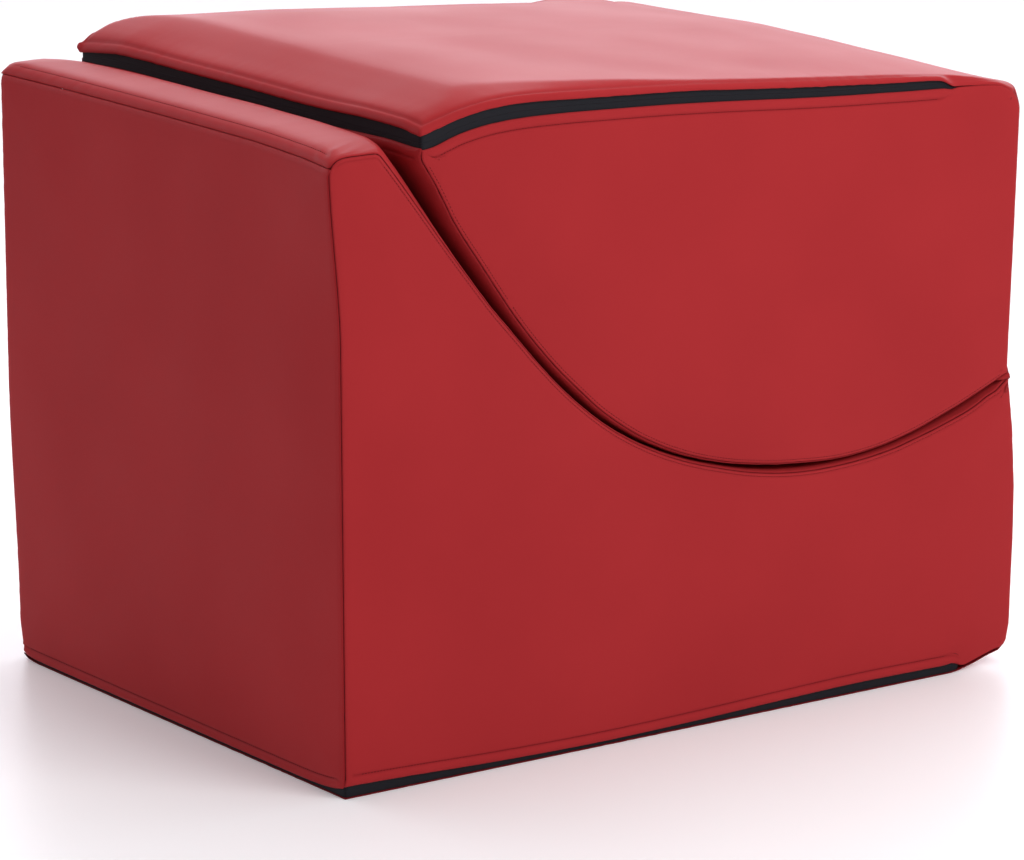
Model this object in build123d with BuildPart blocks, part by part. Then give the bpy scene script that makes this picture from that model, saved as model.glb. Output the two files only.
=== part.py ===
from build123d import *
import os
from math import radians, sqrt, tan

os.makedirs("parts", exist_ok=True)

# A foam pouf of two sections that unfolds into a wave shaped day bed.
# Millimetres and degrees. X runs from the tall wall to the hinge, Y across, Z up from the floor.
# The origin is on the floor, under the middle of the closed pouf.

# Overall sizes
length = 800.0  # outer face of the tall wall to the outside of the hinge seam
width = 600.0
wall_height = 605.0
hinge_height = 297.0

# Cover and running clearances
cover = 1.2  # artificial leather
ease = 0.2  # between the cover and what it is pulled over
turn_in = 2.0  # extra thickness of a hem that is folded inwards
hem_width = 8.0

# Hinge seam, where both covers are sewn into one rolled edge
roll_radius = 3.0
roll_stands_out = 1.5  # hinge axis outside the end faces
roll_gap = 0.3  # around the roll, on the section that turns
roll_seat = 0.2  # around the roll, on the base
lip_length = 12.0  # last stretch of the seat, which climbs to the hinge

# Base section, seen from the side
wall_top = 46.0  # thickness of the wall at its top
wall_slope_angle = 51.3
seat_rise_angle = 14.8
seat_drop = 13.0  # hinge axis above the end of the seat's line
seat_bend_share = 0.681  # of the shorter of the seat's two straight runs, taken up by its bend
wall_outer_round = 18.0
wall_inner_round = 8.0
heel_round = 15.0  # lower edge below the hinge
wall_seam = 9.0  # seam of the wall panel, in from the wall's outer face

# Folding section, seen from the side as it lies tipped open by two degrees
tip_setback = 91.0  # outer face of the wall to the tip of the folding section
tip_below_wall = 8.0
tip_face = 12.0  # height of the tip, up to the zip
belly_back = 15.3  # the corner that the belly is bent round, from the corner of the seat
belly_below = 15.3
belly_bend_share = 0.775
crest_setback = 200.0  # tip to the crest of the hem
crest_rise = 19.0  # crest of the hem above its corner at the tip
stop_fall = 31.0  # crest of the hem to the zip's end
end_fall = 18.0  # zip's end to the corner at the hinge end
crown = 14.0  # rise of the top cushion above its edge at mid width
crown_power = 3
crown_shares = (0, 1, 0.8, 0.2)  # of the crown, at the tip, the crest, the zip's end and the hinge end
station_shares = (-1.08, -0.87, -0.6, 0, 0.6, 0.87, 1.08)  # places across the width where the crown is drawn
cushion_edge = 8.0  # upright skirt of the top cushion above the zip
cushion_margin = 20.0  # the block that shapes the crown is larger than its plan by this
cushion_floor = 30.0  # below the lowest point of the hem, where the block that shapes the crown ends

# Zips, which run round three sides and stop short of the hinge end
zip_stop_setback = 76.0  # zip end to the end face
zip_recess = cover + turn_in  # outer face of the tape behind the cover's face
zip_gap = 11.0  # visible height between the two hems
tape_thick = 0.8
tape_hidden = 6.0  # sewn behind each hem
slit = 1.0  # between the two tapes
coil_height = 1.4
coil_thick = 1.4
zip_corner = 9.0
bottom_rim = 2.2  # upturned edge of the bottom panel

# Slider and its pull
slider_length = 14.0
slider_height = 9.0
slider_plate = 0.8
slider_gap = 0.1
neck_length = 6.0
neck_height = 0.6
lug_thick = 1.0
pin_radius = 0.5
pin_depth = 1.2  # pin axis behind the cover's face
eye_radius = 1.0
eye_bore = 0.6
eye_height = 2.2
pull_length = 17.0
pull_height = 4.0
pull_thick = 0.8
pull_grip_share = 0.8  # of the pull's length that is at its full height
slider_setback = 30.0  # zip end to the middle of the parked slider
stop_length = 4.0
stop_height = 5.0
stop_gap = 0.2

# Filling
seat_wadding = 10.0
foam_channel = 7.4  # depth of the rebate in the foam behind the zip
channel_margin = 2.0

# Places worked out from the sizes above
half = width / 2
x_wall = -length / 2
x_hinge = length / 2 - roll_radius
x_end = x_hinge - roll_stands_out
x_tip = x_wall + tip_setback
x_crest = x_tip + crest_setback
x_stop = x_end - zip_stop_setback
inset = cover + ease
inner_half = half - cover
foam_half = half - inset
rim_zip = bottom_rim + zip_gap / 2
wall_hem = bottom_rim + zip_gap
tape_back = zip_recess + tape_thick
seat_end_height = hinge_height - seat_drop
tip_height = wall_height - tip_below_wall
hem_tip = tip_height + tip_face  # heights of the zip's lower edge, from the tip to the hinge end
hem_crest = hem_tip + crest_rise
hem_stop = hem_crest - stop_fall
hem_end = hem_stop - end_fall
lip_height = hinge_height - sqrt((roll_radius + roll_seat) ** 2 - roll_stands_out**2)
belly_end = hinge_height + sqrt((roll_radius + roll_gap) ** 2 - roll_stands_out**2)
overrun = length  # longer than anything it cuts


def crossing(start, start_angle, end, end_angle):
    """The point where a line through start and a line through end meet."""
    a, b = tan(radians(start_angle)), tan(radians(end_angle))
    x = (end[1] - start[1] + a * start[0] - b * end[0]) / (a - b)
    return (x, start[1] + a * (x - start[0]))


def bend_radius(start, corner, end, share):
    """Radius of the bend between two runs that takes up a share of the shorter run."""
    run_in, run_out = Vector(*corner) - Vector(*start), Vector(*end) - Vector(*corner)
    turn = run_in.get_angle(run_out)
    return share * min(run_in.length, run_out.length) / tan(radians(turn / 2))


def box_face(x_low, x_high, z_low, z_high):
    """A rectangle between two corners, for cutting a profile."""
    with BuildSketch() as patch:
        with BuildLine():
            Polyline((x_low, z_low), (x_high, z_low), (x_high, z_high), (x_low, z_high), close=True)
        make_face()
    return patch.sketch_local


shoulder = (x_wall + wall_top, wall_height)
seat_end = (x_end, seat_end_height)
valley = crossing(shoulder, -wall_slope_angle, seat_end, seat_rise_angle)


def base_outline():
    """Side view of the base section: tall wall, long slope, hollow seat and climb to the hinge."""
    seat_radius = bend_radius(shoulder, valley, seat_end, seat_bend_share)
    lip_foot = (x_end - lip_length, seat_end_height - lip_length * tan(radians(seat_rise_angle)))
    corners = [
        (x_wall, 0),
        (x_wall, wall_height),
        shoulder,
        valley,
        lip_foot,
        (x_end, lip_height),
        (x_end, 0),
    ]
    rounds = [0, wall_outer_round, wall_inner_round, seat_radius, 0, 0, heel_round]
    with BuildSketch() as side:
        with BuildLine():
            FilletPolyline(*corners, radius=rounds, close=True)
        make_face()
    return side.sketch_local


def hem_points(rise, swell=0.0):
    """The four points of the zip's line along a side, raised by rise and by the swell of the crown."""
    places = (x_tip, x_crest, x_stop, x_end)
    heights = (hem_tip, hem_crest, hem_stop, hem_end)
    return [(x, z + rise + swell * share) for x, z, share in zip(places, heights, crown_shares)]


def hem_line(points):
    """Droop at the tip, straight run, droop at the hinge end: two arcs that touch one line."""
    tip, crest, stop, end = points
    run = (stop[0] - crest[0], stop[1] - crest[1])
    TangentArc(crest, tip, tangent=(-run[0], -run[1]))
    Line(crest, stop)
    TangentArc(stop, end, tangent=run)


def hem_strip(low, high):
    """Side view of a strip that follows the zip's line, between two heights above it."""
    lower, upper = hem_points(low), hem_points(high)
    with BuildSketch() as strip:
        with BuildLine():
            hem_line(lower)
            hem_line(upper)
            Line(lower[0], upper[0])
            Line(lower[-1], upper[-1])
        make_face()
    return strip.sketch_local


def fold_outline(rise):
    """Side view of the folding section, up to the zip's line raised by rise."""
    tip = (x_tip, tip_height)
    heel = (x_end, belly_end)
    belly = (valley[0] - belly_back, valley[1] - belly_below)
    belly_radius = bend_radius(tip, belly, heel, belly_bend_share)
    top = hem_points(rise)
    with BuildSketch() as side:
        with BuildLine():
            FilletPolyline(tip, belly, heel, radius=[belly_radius])
            Line(heel, top[-1])
            hem_line(top)
            Line(top[0], tip)
        make_face()
    return side.sketch_local


def shrunk(face, distance):
    """The same outline, inset by a distance."""
    with BuildSketch() as smaller:
        add(face)
        offset(amount=-distance, kind=Kind.INTERSECTION)
    return smaller.sketch_local


def kept(face, zone):
    """The part of a profile that lies in a zone."""
    with BuildSketch() as piece:
        add(face)
        add(zone, mode=Mode.INTERSECT)
    return piece.sketch_local


def layer(face, outer, inner, zone):
    """The strip of a profile between two insets, kept where it lies in a zone."""
    with BuildSketch() as strip:
        add(shrunk(face, outer) if outer else face)
        add(shrunk(face, inner), mode=Mode.SUBTRACT)
        add(zone, mode=Mode.INTERSECT)
    return strip.sketch_local


def plan_face(x_left, x_right, depth):
    """Plan of a section, inset by a depth and open towards the hinge, with its far corners rounded."""
    corners = [
        (x_left + depth, depth - half),
        (x_right, depth - half),
        (x_right, half - depth),
        (x_left + depth, half - depth),
    ]
    turn = max(zip_corner - depth, cover)
    with BuildSketch() as plan:
        with BuildLine():
            FilletPolyline(*corners, radius=[turn, 0, 0, turn], close=True)
        make_face()
    return plan.sketch_local


def loop(x_left, x_right, outer, inner, low, high):
    """An upright band round three sides, between two depths and two heights."""
    with BuildPart() as band:
        with BuildSketch(Plane.XY.offset(low)):
            add(plan_face(x_left, x_right, outer))
            add(plan_face(x_left, x_right, inner), mode=Mode.SUBTRACT)
        extrude(amount=high - low)
    return band.part


def base_loop(outer, inner, low, high):
    """A band round the base, behind the bottom zip."""
    return loop(x_wall, x_stop, outer, inner, low, high)


def fold_loop(outer, inner, low, high, x_right=x_stop):
    """A band round the folding section that follows the zip's line."""
    with BuildPart() as band:
        add(loop(x_tip, x_right, outer, inner, tip_height - cushion_floor * 2, overrun))
        with BuildSketch(Plane.XZ):
            add(hem_strip(low, high))
        extrude(amount=width, both=True, mode=Mode.INTERSECT)
    return band.part


def crown_block(drop):
    """The crowned top, lofted through side views whose top edge swells towards mid width."""
    floor = hem_end - cushion_floor
    with BuildPart() as block:
        for share in station_shares:
            swell = crown * (1 - abs(share) ** crown_power)
            tip, crest, stop, end = hem_points(zip_gap + cushion_edge - drop, swell)
            end = (end[0], end[1] - cushion_edge)
            left, right = tip[0] - cushion_margin, end[0] + cushion_margin
            with BuildSketch(Plane.XZ.offset(-share * half)):
                with BuildLine():
                    hem_line((tip, crest, stop, end))
                    Polyline(tip, (left, tip[1]), (left, floor), (right, floor), (right, end[1]), end)
                make_face()
        loft()
    return block.part


base_side = base_outline()
fold_side = fold_outline(0)
above_seat = box_face(x_wall + wall_top, x_end - inset - seat_wadding, heel_round + seat_wadding, overrun)
under_top = box_face(x_wall, x_end - inset - seat_wadding, 0, tip_height - cushion_floor)
crown_outer = crown_block(0)
crown_under_cover = crown_block(cover)
crown_filling = crown_block(inset)

# Base section: foam block, cut to the wave and rebated for the zip
with BuildPart() as base_foam_core:
    with BuildSketch(Plane.XZ):
        add(shrunk(base_side, inset))
        add(layer(base_side, inset, inset + seat_wadding + ease, above_seat), mode=Mode.SUBTRACT)
    extrude(amount=foam_half, both=True)
    channel = base_loop(-zip_corner, foam_channel, -channel_margin, wall_hem + hem_width + channel_margin)
    add(channel, mode=Mode.SUBTRACT)
base_foam_core.part.label = "base_foam_core"
export_step(base_foam_core.part, "parts/base_foam_core.step")

# Base section: wadding on the lounging surface
with BuildPart() as base_seat_wadding:
    with BuildSketch(Plane.XZ):
        add(layer(base_side, inset, inset + seat_wadding, above_seat))
    extrude(amount=foam_half, both=True)
base_seat_wadding.part.label = "base_seat_wadding"
export_step(base_seat_wadding.part, "parts/base_seat_wadding.step")

# Base section: near side panel with its folded hem along the zip
with BuildPart() as base_near_side:
    with BuildSketch(Plane.XZ.offset(inner_half)):
        add(base_side)
        add(box_face(x_wall - overrun, x_stop, -overrun, wall_hem), mode=Mode.SUBTRACT)
        add(box_face(x_stop, overrun, -overrun, cover), mode=Mode.SUBTRACT)
    extrude(amount=cover)
    with BuildSketch(Plane.XZ.offset(inner_half)):
        add(box_face(x_wall + zip_recess, x_stop, wall_hem, wall_hem + hem_width))
    extrude(amount=-turn_in)
base_near_side.part.label = "base_near_side"
export_step(base_near_side.part, "parts/base_near_side.step")

# Base section: far side panel, the mirror of the near one
with BuildPart() as base_far_side:
    mirror(base_near_side.part, about=Plane.XZ)
base_far_side.part.label = "base_far_side"
export_step(base_far_side.part, "parts/base_far_side.step")

# Base section: outer panel of the tall wall, up to the seam on its top edge
with BuildPart() as base_wall_panel:
    with BuildSketch(Plane.XZ):
        add(layer(base_side, 0, cover, box_face(x_wall, x_wall + wall_seam, wall_hem, overrun)))
    extrude(amount=inner_half, both=True)
    with BuildSketch(Plane.XZ):
        add(box_face(x_wall + cover, x_wall + zip_recess, wall_hem, wall_hem + hem_width))
    extrude(amount=inner_half, both=True)
base_wall_panel.part.label = "base_wall_panel"
export_step(base_wall_panel.part, "parts/base_wall_panel.step")

# Base section: long panel over the wall's top, down the slope and up to the hinge
with BuildPart() as base_lounge_panel:
    with BuildSketch(Plane.XZ):
        add(layer(base_side, 0, cover, box_face(x_wall + wall_seam, x_end - cover, heel_round, overrun)))
    extrude(amount=inner_half, both=True)
base_lounge_panel.part.label = "base_lounge_panel"
export_step(base_lounge_panel.part, "parts/base_lounge_panel.step")

# Base section: end panel below the hinge, round the heel
with BuildPart() as base_end_panel:
    with BuildSketch(Plane.XZ):
        add(layer(base_side, 0, cover, box_face(x_end - cover, overrun, heel_round, overrun)))
        add(layer(base_side, 0, cover, box_face(x_end - heel_round, overrun, 0, heel_round)))
    extrude(amount=inner_half, both=True)
base_end_panel.part.label = "base_end_panel"
export_step(base_end_panel.part, "parts/base_end_panel.step")

# Base section: bottom panel with its upturned edge under the zip
with BuildPart() as base_bottom_panel:
    with BuildSketch(Plane.XY):
        add(plan_face(x_wall, x_end - heel_round, 0))
    extrude(amount=cover)
    add(base_loop(0, zip_recess, 0, bottom_rim))
base_bottom_panel.part.label = "base_bottom_panel"
export_step(base_bottom_panel.part, "parts/base_bottom_panel.step")

# Bottom zip: upper and lower tape, and a coil sewn on each
with BuildPart() as base_zip_upper_tape:
    add(base_loop(zip_recess, tape_back, rim_zip + slit / 2, wall_hem + tape_hidden))
base_zip_upper_tape.part.label = "base_zip_upper_tape"
export_step(base_zip_upper_tape.part, "parts/base_zip_upper_tape.step")

with BuildPart() as base_zip_lower_tape:
    add(base_loop(zip_recess, tape_back, cover, rim_zip - slit / 2))
base_zip_lower_tape.part.label = "base_zip_lower_tape"
export_step(base_zip_lower_tape.part, "parts/base_zip_lower_tape.step")


def coil_ends(loop_part):
    """Cuts a coil short of the zip's end, where the stops are."""
    with BuildPart() as coil:
        add(loop_part)
        with BuildSketch(Plane.YZ.offset(x_stop - stop_length - stop_gap * 2)):
            Rectangle(overrun * 2, overrun * 2)
        extrude(amount=overrun, mode=Mode.SUBTRACT)
    return coil.part


with BuildPart() as base_zip_upper_coil:
    top_of_slit = rim_zip + slit / 2
    add(coil_ends(base_loop(tape_back, tape_back + coil_thick, top_of_slit, top_of_slit + coil_height)))
base_zip_upper_coil.part.label = "base_zip_upper_coil"
export_step(base_zip_upper_coil.part, "parts/base_zip_upper_coil.step")

with BuildPart() as base_zip_lower_coil:
    foot_of_slit = rim_zip - slit / 2
    add(coil_ends(base_loop(tape_back, tape_back + coil_thick, foot_of_slit - coil_height, foot_of_slit)))
base_zip_lower_coil.part.label = "base_zip_lower_coil"
export_step(base_zip_lower_coil.part, "parts/base_zip_lower_coil.step")

# Folding section: foam block
with BuildPart() as fold_foam_core:
    with BuildSketch(Plane.XZ):
        add(shrunk(fold_side, inset))
        add(layer(fold_side, inset, inset + seat_wadding + ease, under_top), mode=Mode.SUBTRACT)
    extrude(amount=foam_half, both=True)
    add(fold_loop(-zip_corner, foam_channel, -hem_width - channel_margin, hem_width), mode=Mode.SUBTRACT)
fold_foam_core.part.label = "fold_foam_core"
export_step(fold_foam_core.part, "parts/fold_foam_core.step")

# Folding section: wadding under the wave shaped belly, which is the lounging surface once unfolded
with BuildPart() as fold_seat_wadding:
    with BuildSketch(Plane.XZ):
        add(layer(fold_side, inset, inset + seat_wadding, under_top))
    extrude(amount=foam_half, both=True)
fold_seat_wadding.part.label = "fold_seat_wadding"
export_step(fold_seat_wadding.part, "parts/fold_seat_wadding.step")

# Folding section: crowned wadding cushion above the foam block
with BuildPart() as fold_top_wadding:
    add(crown_filling)
    with BuildSketch(Plane.XY):
        add(plan_face(x_tip, x_end - inset, foam_channel))
    extrude(amount=overrun, mode=Mode.INTERSECT)
    with BuildSketch(Plane.XZ):
        add(hem_strip(-cushion_floor * 4, ease))
    extrude(amount=half, both=True, mode=Mode.SUBTRACT)
fold_top_wadding.part.label = "fold_top_wadding"
export_step(fold_top_wadding.part, "parts/fold_top_wadding.step")

# Folding section: near side panel with its folded hem along the zip
with BuildPart() as fold_near_side:
    with BuildSketch(Plane.XZ.offset(inner_half)):
        add(fold_side)
        add(kept(fold_outline(zip_gap), box_face(x_stop, overrun, 0, overrun)))
    extrude(amount=cover)
    with BuildSketch(Plane.XZ.offset(inner_half)):
        add(hem_strip(-hem_width, 0))
        add(box_face(x_tip + zip_recess, x_stop, 0, overrun), mode=Mode.INTERSECT)
    extrude(amount=-turn_in)
fold_near_side.part.label = "fold_near_side"
export_step(fold_near_side.part, "parts/fold_near_side.step")

# Folding section: far side panel, the mirror of the near one
with BuildPart() as fold_far_side:
    mirror(fold_near_side.part, about=Plane.XZ)
fold_far_side.part.label = "fold_far_side"
export_step(fold_far_side.part, "parts/fold_far_side.step")

# Folding section: lounging panel, round the tip and along the belly to the hinge
with BuildPart() as fold_lounge_panel:
    with BuildSketch(Plane.XZ):
        add(layer(fold_side, 0, cover, box_face(x_tip, x_end - cover, 0, tip_height - cushion_floor)))
        add(layer(fold_side, 0, cover, box_face(x_tip, x_crest, 0, hem_tip - cover)))
    extrude(amount=inner_half, both=True)
    with BuildSketch(Plane.XZ):
        add(box_face(x_tip + cover, x_tip + zip_recess, hem_tip - hem_width, hem_tip - cover))
    extrude(amount=inner_half, both=True)
fold_lounge_panel.part.label = "fold_lounge_panel"
export_step(fold_lounge_panel.part, "parts/fold_lounge_panel.step")

# Folding section: end panel above the hinge
with BuildPart() as fold_end_panel:
    with BuildSketch(Plane.YZ.offset(x_end - cover)):
        with BuildLine():
            Polyline(
                (-inner_half, belly_end),
                (inner_half, belly_end),
                (inner_half, hem_end + zip_gap - inset),
                (-inner_half, hem_end + zip_gap - inset),
                close=True,
            )
        make_face()
    extrude(amount=cover)
fold_end_panel.part.label = "fold_end_panel"
export_step(fold_end_panel.part, "parts/fold_end_panel.step")

# Folding section: crowned top panel with its upright skirt and folded hem
with BuildPart() as crown_skin:
    add(crown_outer)
    add(crown_under_cover, mode=Mode.SUBTRACT)

with BuildPart() as fold_top_panel:
    add(fold_loop(-cushion_margin, zip_recess, zip_gap, zip_gap + cushion_edge * 2, x_end))
    add(crown_outer, mode=Mode.INTERSECT)
    add(crown_skin.part)
    with BuildSketch(Plane.XY):
        add(plan_face(x_tip, x_end, 0))
    extrude(amount=overrun, mode=Mode.INTERSECT)
fold_top_panel.part.label = "fold_top_panel"
export_step(fold_top_panel.part, "parts/fold_top_panel.step")

# Top zip: upper and lower tape, and a coil sewn on each
with BuildPart() as fold_zip_upper_tape:
    add(fold_loop(zip_recess, tape_back, (zip_gap + slit) / 2, zip_gap + tape_hidden))
fold_zip_upper_tape.part.label = "fold_zip_upper_tape"
export_step(fold_zip_upper_tape.part, "parts/fold_zip_upper_tape.step")

with BuildPart() as fold_zip_lower_tape:
    add(fold_loop(zip_recess, tape_back, -tape_hidden, (zip_gap - slit) / 2))
fold_zip_lower_tape.part.label = "fold_zip_lower_tape"
export_step(fold_zip_lower_tape.part, "parts/fold_zip_lower_tape.step")

with BuildPart() as fold_zip_upper_coil:
    low = (zip_gap + slit) / 2
    add(coil_ends(fold_loop(tape_back, tape_back + coil_thick, low, low + coil_height)))
fold_zip_upper_coil.part.label = "fold_zip_upper_coil"
export_step(fold_zip_upper_coil.part, "parts/fold_zip_upper_coil.step")

with BuildPart() as fold_zip_lower_coil:
    high = (zip_gap - slit) / 2
    add(coil_ends(fold_loop(tape_back, tape_back + coil_thick, high - coil_height, high)))
fold_zip_lower_coil.part.label = "fold_zip_lower_coil"
export_step(fold_zip_lower_coil.part, "parts/fold_zip_lower_coil.step")

# Hinge: the rolled seam that joins both covers along the end face
with BuildPart() as hinge_seam_roll:
    with BuildSketch(Plane.XZ):
        with Locations((x_hinge, hinge_height)):
            Circle(roll_radius)
    extrude(amount=half, both=True)
hinge_seam_roll.part.label = "hinge_seam_roll"
export_step(hinge_seam_roll.part, "parts/hinge_seam_roll.step")

# Planes on the far side, on the middle of each zip: X along the zip towards the hinge, Z outwards
zip_fall = (hem_crest - hem_stop) / (x_stop - x_crest)
x_slider = x_stop - slider_setback
z_fold_slider = hem_stop + zip_gap / 2 + zip_fall * slider_setback
base_zip_plane = Plane(origin=(x_slider, half, rim_zip), x_dir=(1, 0, 0), z_dir=(0, 1, 0))
fold_zip_plane = Plane(origin=(x_slider, half, z_fold_slider), x_dir=(1, 0, -zip_fall), z_dir=(0, 1, 0))


def zip_slider(place):
    """Two plates joined by a neck through the slit, and two lugs with the pull's pin."""
    outer_face = zip_recess - slider_gap - slider_plate
    inner_face = tape_back + coil_thick + slider_gap
    lug_spread = eye_height + slider_gap * 2 + lug_thick
    with BuildPart() as body:
        with BuildSketch(place.offset(-outer_face)):
            RectangleRounded(slider_length, slider_height, slider_height / 4)
        extrude(amount=-slider_plate)
        with BuildSketch(place.offset(-inner_face)):
            RectangleRounded(slider_length, slider_height, slider_height / 4)
        extrude(amount=-slider_plate)
        with BuildSketch(place.offset(-outer_face)):
            Rectangle(neck_length, neck_height)
        extrude(amount=outer_face - inner_face - slider_plate / 2)
        with BuildSketch(place.offset(-outer_face - slider_plate / 2)):
            with Locations((0, lug_spread / 2), (0, -lug_spread / 2)):
                Rectangle(eye_radius * 2, lug_thick)
        extrude(amount=outer_face + slider_plate / 2 - pin_depth + pin_radius + slider_gap)
        pin_plane = Plane(origin=place.offset(-pin_depth).origin, x_dir=place.x_dir, z_dir=place.y_dir)
        with BuildSketch(pin_plane.offset(-lug_spread / 2)):
            Circle(pin_radius)
        extrude(amount=lug_spread)
    return body.part


def zip_pull(place):
    """A tab with an eye that turns on the slider's pin."""
    pin_plane = Plane(origin=place.offset(-pin_depth).origin, x_dir=place.x_dir, z_dir=place.y_dir)
    with BuildPart() as tab:
        with BuildSketch(pin_plane.offset(-eye_height / 2)):
            Circle(eye_radius)
        extrude(amount=eye_height)
        with BuildSketch(place.offset(-pin_depth - pull_thick / 2)):
            with Locations((-pull_length / 2, 0)):
                RectangleRounded(pull_length, eye_height, eye_height / 4)
            with Locations((pull_length * (pull_grip_share / 2 - 1), 0)):
                RectangleRounded(pull_length * pull_grip_share, pull_height, pull_height / 3)
        extrude(amount=pull_thick)
        with BuildSketch(pin_plane.offset(-pull_height)):
            Circle(eye_bore)
        extrude(amount=pull_height * 2, mode=Mode.SUBTRACT)
    return tab.part


with BuildPart() as base_zip_slider:
    add(zip_slider(base_zip_plane))
base_zip_slider.part.label = "base_zip_slider"
export_step(base_zip_slider.part, "parts/base_zip_slider.step")

with BuildPart() as base_zip_pull:
    add(zip_pull(base_zip_plane))
base_zip_pull.part.label = "base_zip_pull"
export_step(base_zip_pull.part, "parts/base_zip_pull.step")

with BuildPart() as fold_zip_slider:
    add(zip_slider(fold_zip_plane))
fold_zip_slider.part.label = "fold_zip_slider"
export_step(fold_zip_slider.part, "parts/fold_zip_slider.step")

with BuildPart() as fold_zip_pull:
    add(zip_pull(fold_zip_plane))
fold_zip_pull.part.label = "fold_zip_pull"
export_step(fold_zip_pull.part, "parts/fold_zip_pull.step")

# Stops: a clip over the ends of both coils, on the near and the far side
stop_low = tape_back + ease / 2
stop_drop = zip_fall * (stop_length / 2 + stop_gap)


def zip_stops(z_middle):
    """A pair of clips, one on each side, behind the tapes."""
    with BuildPart() as pair:
        with BuildSketch(Plane.XZ.offset(half - stop_low)):
            with Locations((x_stop - stop_length / 2 - stop_gap, z_middle)):
                RectangleRounded(stop_length, stop_height, stop_height / 5)
        extrude(amount=-coil_thick)
        mirror(about=Plane.XZ)
    return pair.part


with BuildPart() as base_zip_stops:
    add(zip_stops(rim_zip))
base_zip_stops.part.label = "base_zip_stops"
export_step(base_zip_stops.part, "parts/base_zip_stops.step")

with BuildPart() as fold_zip_stops:
    add(zip_stops(hem_stop + zip_gap / 2 + stop_drop))
fold_zip_stops.part.label = "fold_zip_stops"
export_step(fold_zip_stops.part, "parts/fold_zip_stops.step")
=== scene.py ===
import math

import bpy
import numpy as np
from mathutils import Matrix


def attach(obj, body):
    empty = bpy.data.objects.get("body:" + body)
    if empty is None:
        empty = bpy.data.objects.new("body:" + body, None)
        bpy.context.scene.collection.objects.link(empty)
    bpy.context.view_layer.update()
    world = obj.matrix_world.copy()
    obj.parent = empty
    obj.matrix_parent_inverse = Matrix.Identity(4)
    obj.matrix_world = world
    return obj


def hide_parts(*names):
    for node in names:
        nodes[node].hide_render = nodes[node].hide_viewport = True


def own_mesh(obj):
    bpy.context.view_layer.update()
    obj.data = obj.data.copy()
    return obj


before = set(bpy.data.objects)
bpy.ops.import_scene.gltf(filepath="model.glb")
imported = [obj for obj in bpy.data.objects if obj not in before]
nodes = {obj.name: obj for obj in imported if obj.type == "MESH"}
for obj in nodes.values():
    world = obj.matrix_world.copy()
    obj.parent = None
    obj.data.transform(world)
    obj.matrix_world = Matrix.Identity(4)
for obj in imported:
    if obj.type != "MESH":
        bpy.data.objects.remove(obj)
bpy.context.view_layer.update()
print("frame loaded:", len(nodes), "nodes")

# Everything below is worked out in millimetres and put into the meshes in metres.
metres = 0.001
tiny = 1e-6
pouf = {
    "half": 300.0,  # half width
    "wall": -400.0,  # outer face of the tall wall
    "wallHeight": 605.0,
    "wallTop": 46.0,  # its width
    "wallHem": 3.4,
    "end": 395.5,  # end faces
    "heel": 9.0,  # round of the lower corner at the hinge end
    "heelFlat": 1.0,  # how far the end panel runs on under it
    "underside": 1.2,  # height of the side panels' lower edge near the hinge end
    "hingeX": 397.0,
    "hingeZ": 297.0,
    "tip": -309.0,  # tip of the folding section
    "zipEnd": 319.5,
    "baseZipEnd": 331.0,
    "sewnRise": 2.2,  # of the top seam over the zip line, past the zip's end
    "cover": 0.8,  # thickness of the leather
}
half, wall, endX, tipX = pouf["half"], pouf["wall"], pouf["end"], pouf["tip"]
sides = {"near": (-1, 11), "far": (1, 23)}  # which way each side faces, and its seed

# Lines and soft steps.
arcSteps = 60


def roundedLine(corners, rounds):
    # straight runs between the corners; each inner corner becomes an arc that touches both of its runs
    points = np.array(corners, float)
    pieces = [points[:1]]
    for before, corner, after, radius in zip(points[:-2], points[1:-1], points[2:], rounds):
        back = (before - corner) / np.linalg.norm(before - corner)
        ahead = (after - corner) / np.linalg.norm(after - corner)
        halfTurn = 0.5 * math.acos(np.clip(-back @ ahead, -1, 1))
        if radius <= 0 or halfTurn < tiny:
            pieces.append(corner[None])
            continue
        bisector = (back + ahead) / np.linalg.norm(back + ahead)
        centre = corner + bisector * radius / math.cos(halfTurn)
        first = corner + back * radius * math.tan(halfTurn) - centre
        side = np.sign(-back[0] * ahead[1] + back[1] * ahead[0])
        angles = math.atan2(first[1], first[0]) + side * np.linspace(0, 2 * halfTurn, arcSteps)
        pieces.append(centre + radius * np.c_[np.cos(angles), np.sin(angles)])
    pieces.append(points[-1:])
    return np.vstack(pieces)


def makePath(points, spacing=0.5):
    # the line resampled at even steps, with its unit tangent
    along = np.r_[0, np.cumsum(np.hypot(*np.diff(points, axis=0).T))]
    s = np.linspace(0, along[-1], int(along[-1] / spacing) + 2)
    xy = np.c_[np.interp(s, along, points[:, 0]), np.interp(s, along, points[:, 1])]
    tangent = np.gradient(xy, s, axis=0)
    tangent /= np.linalg.norm(tangent, axis=1)[:, None]
    return {"s": s, "xy": xy, "tangent": tangent, "length": s[-1]}


def cutPath(path, *places):
    # the path in pieces, cut at the samples that lie nearest to the given places
    cuts = [0]
    cuts += [int(np.argmin(np.hypot(*(path["xy"] - np.array(p)).T))) for p in places]
    cuts += [len(path["s"]) - 1]
    return [makePath(path["xy"][a : b + 1]) for a, b in zip(cuts[:-1], cuts[1:])]


def onPath(path, s):
    # point and unit tangent at arc positions s, beyond the ends along the end tangents
    point = np.stack([np.interp(s, path["s"], path["xy"][:, k]) for k in (0, 1)], -1)
    tangent = np.stack([np.interp(s, path["s"], path["tangent"][:, k]) for k in (0, 1)], -1)
    tangent /= np.linalg.norm(tangent, axis=-1, keepdims=True)
    over = s - np.clip(s, 0, path["length"])
    return point + tangent * over[..., None], tangent


def leftOf(tangent):
    return np.stack([-tangent[..., 1], tangent[..., 0]], -1)


noise = {"waves": 7, "stretches": (0.7, 1.4), "level": 1.4}


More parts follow.
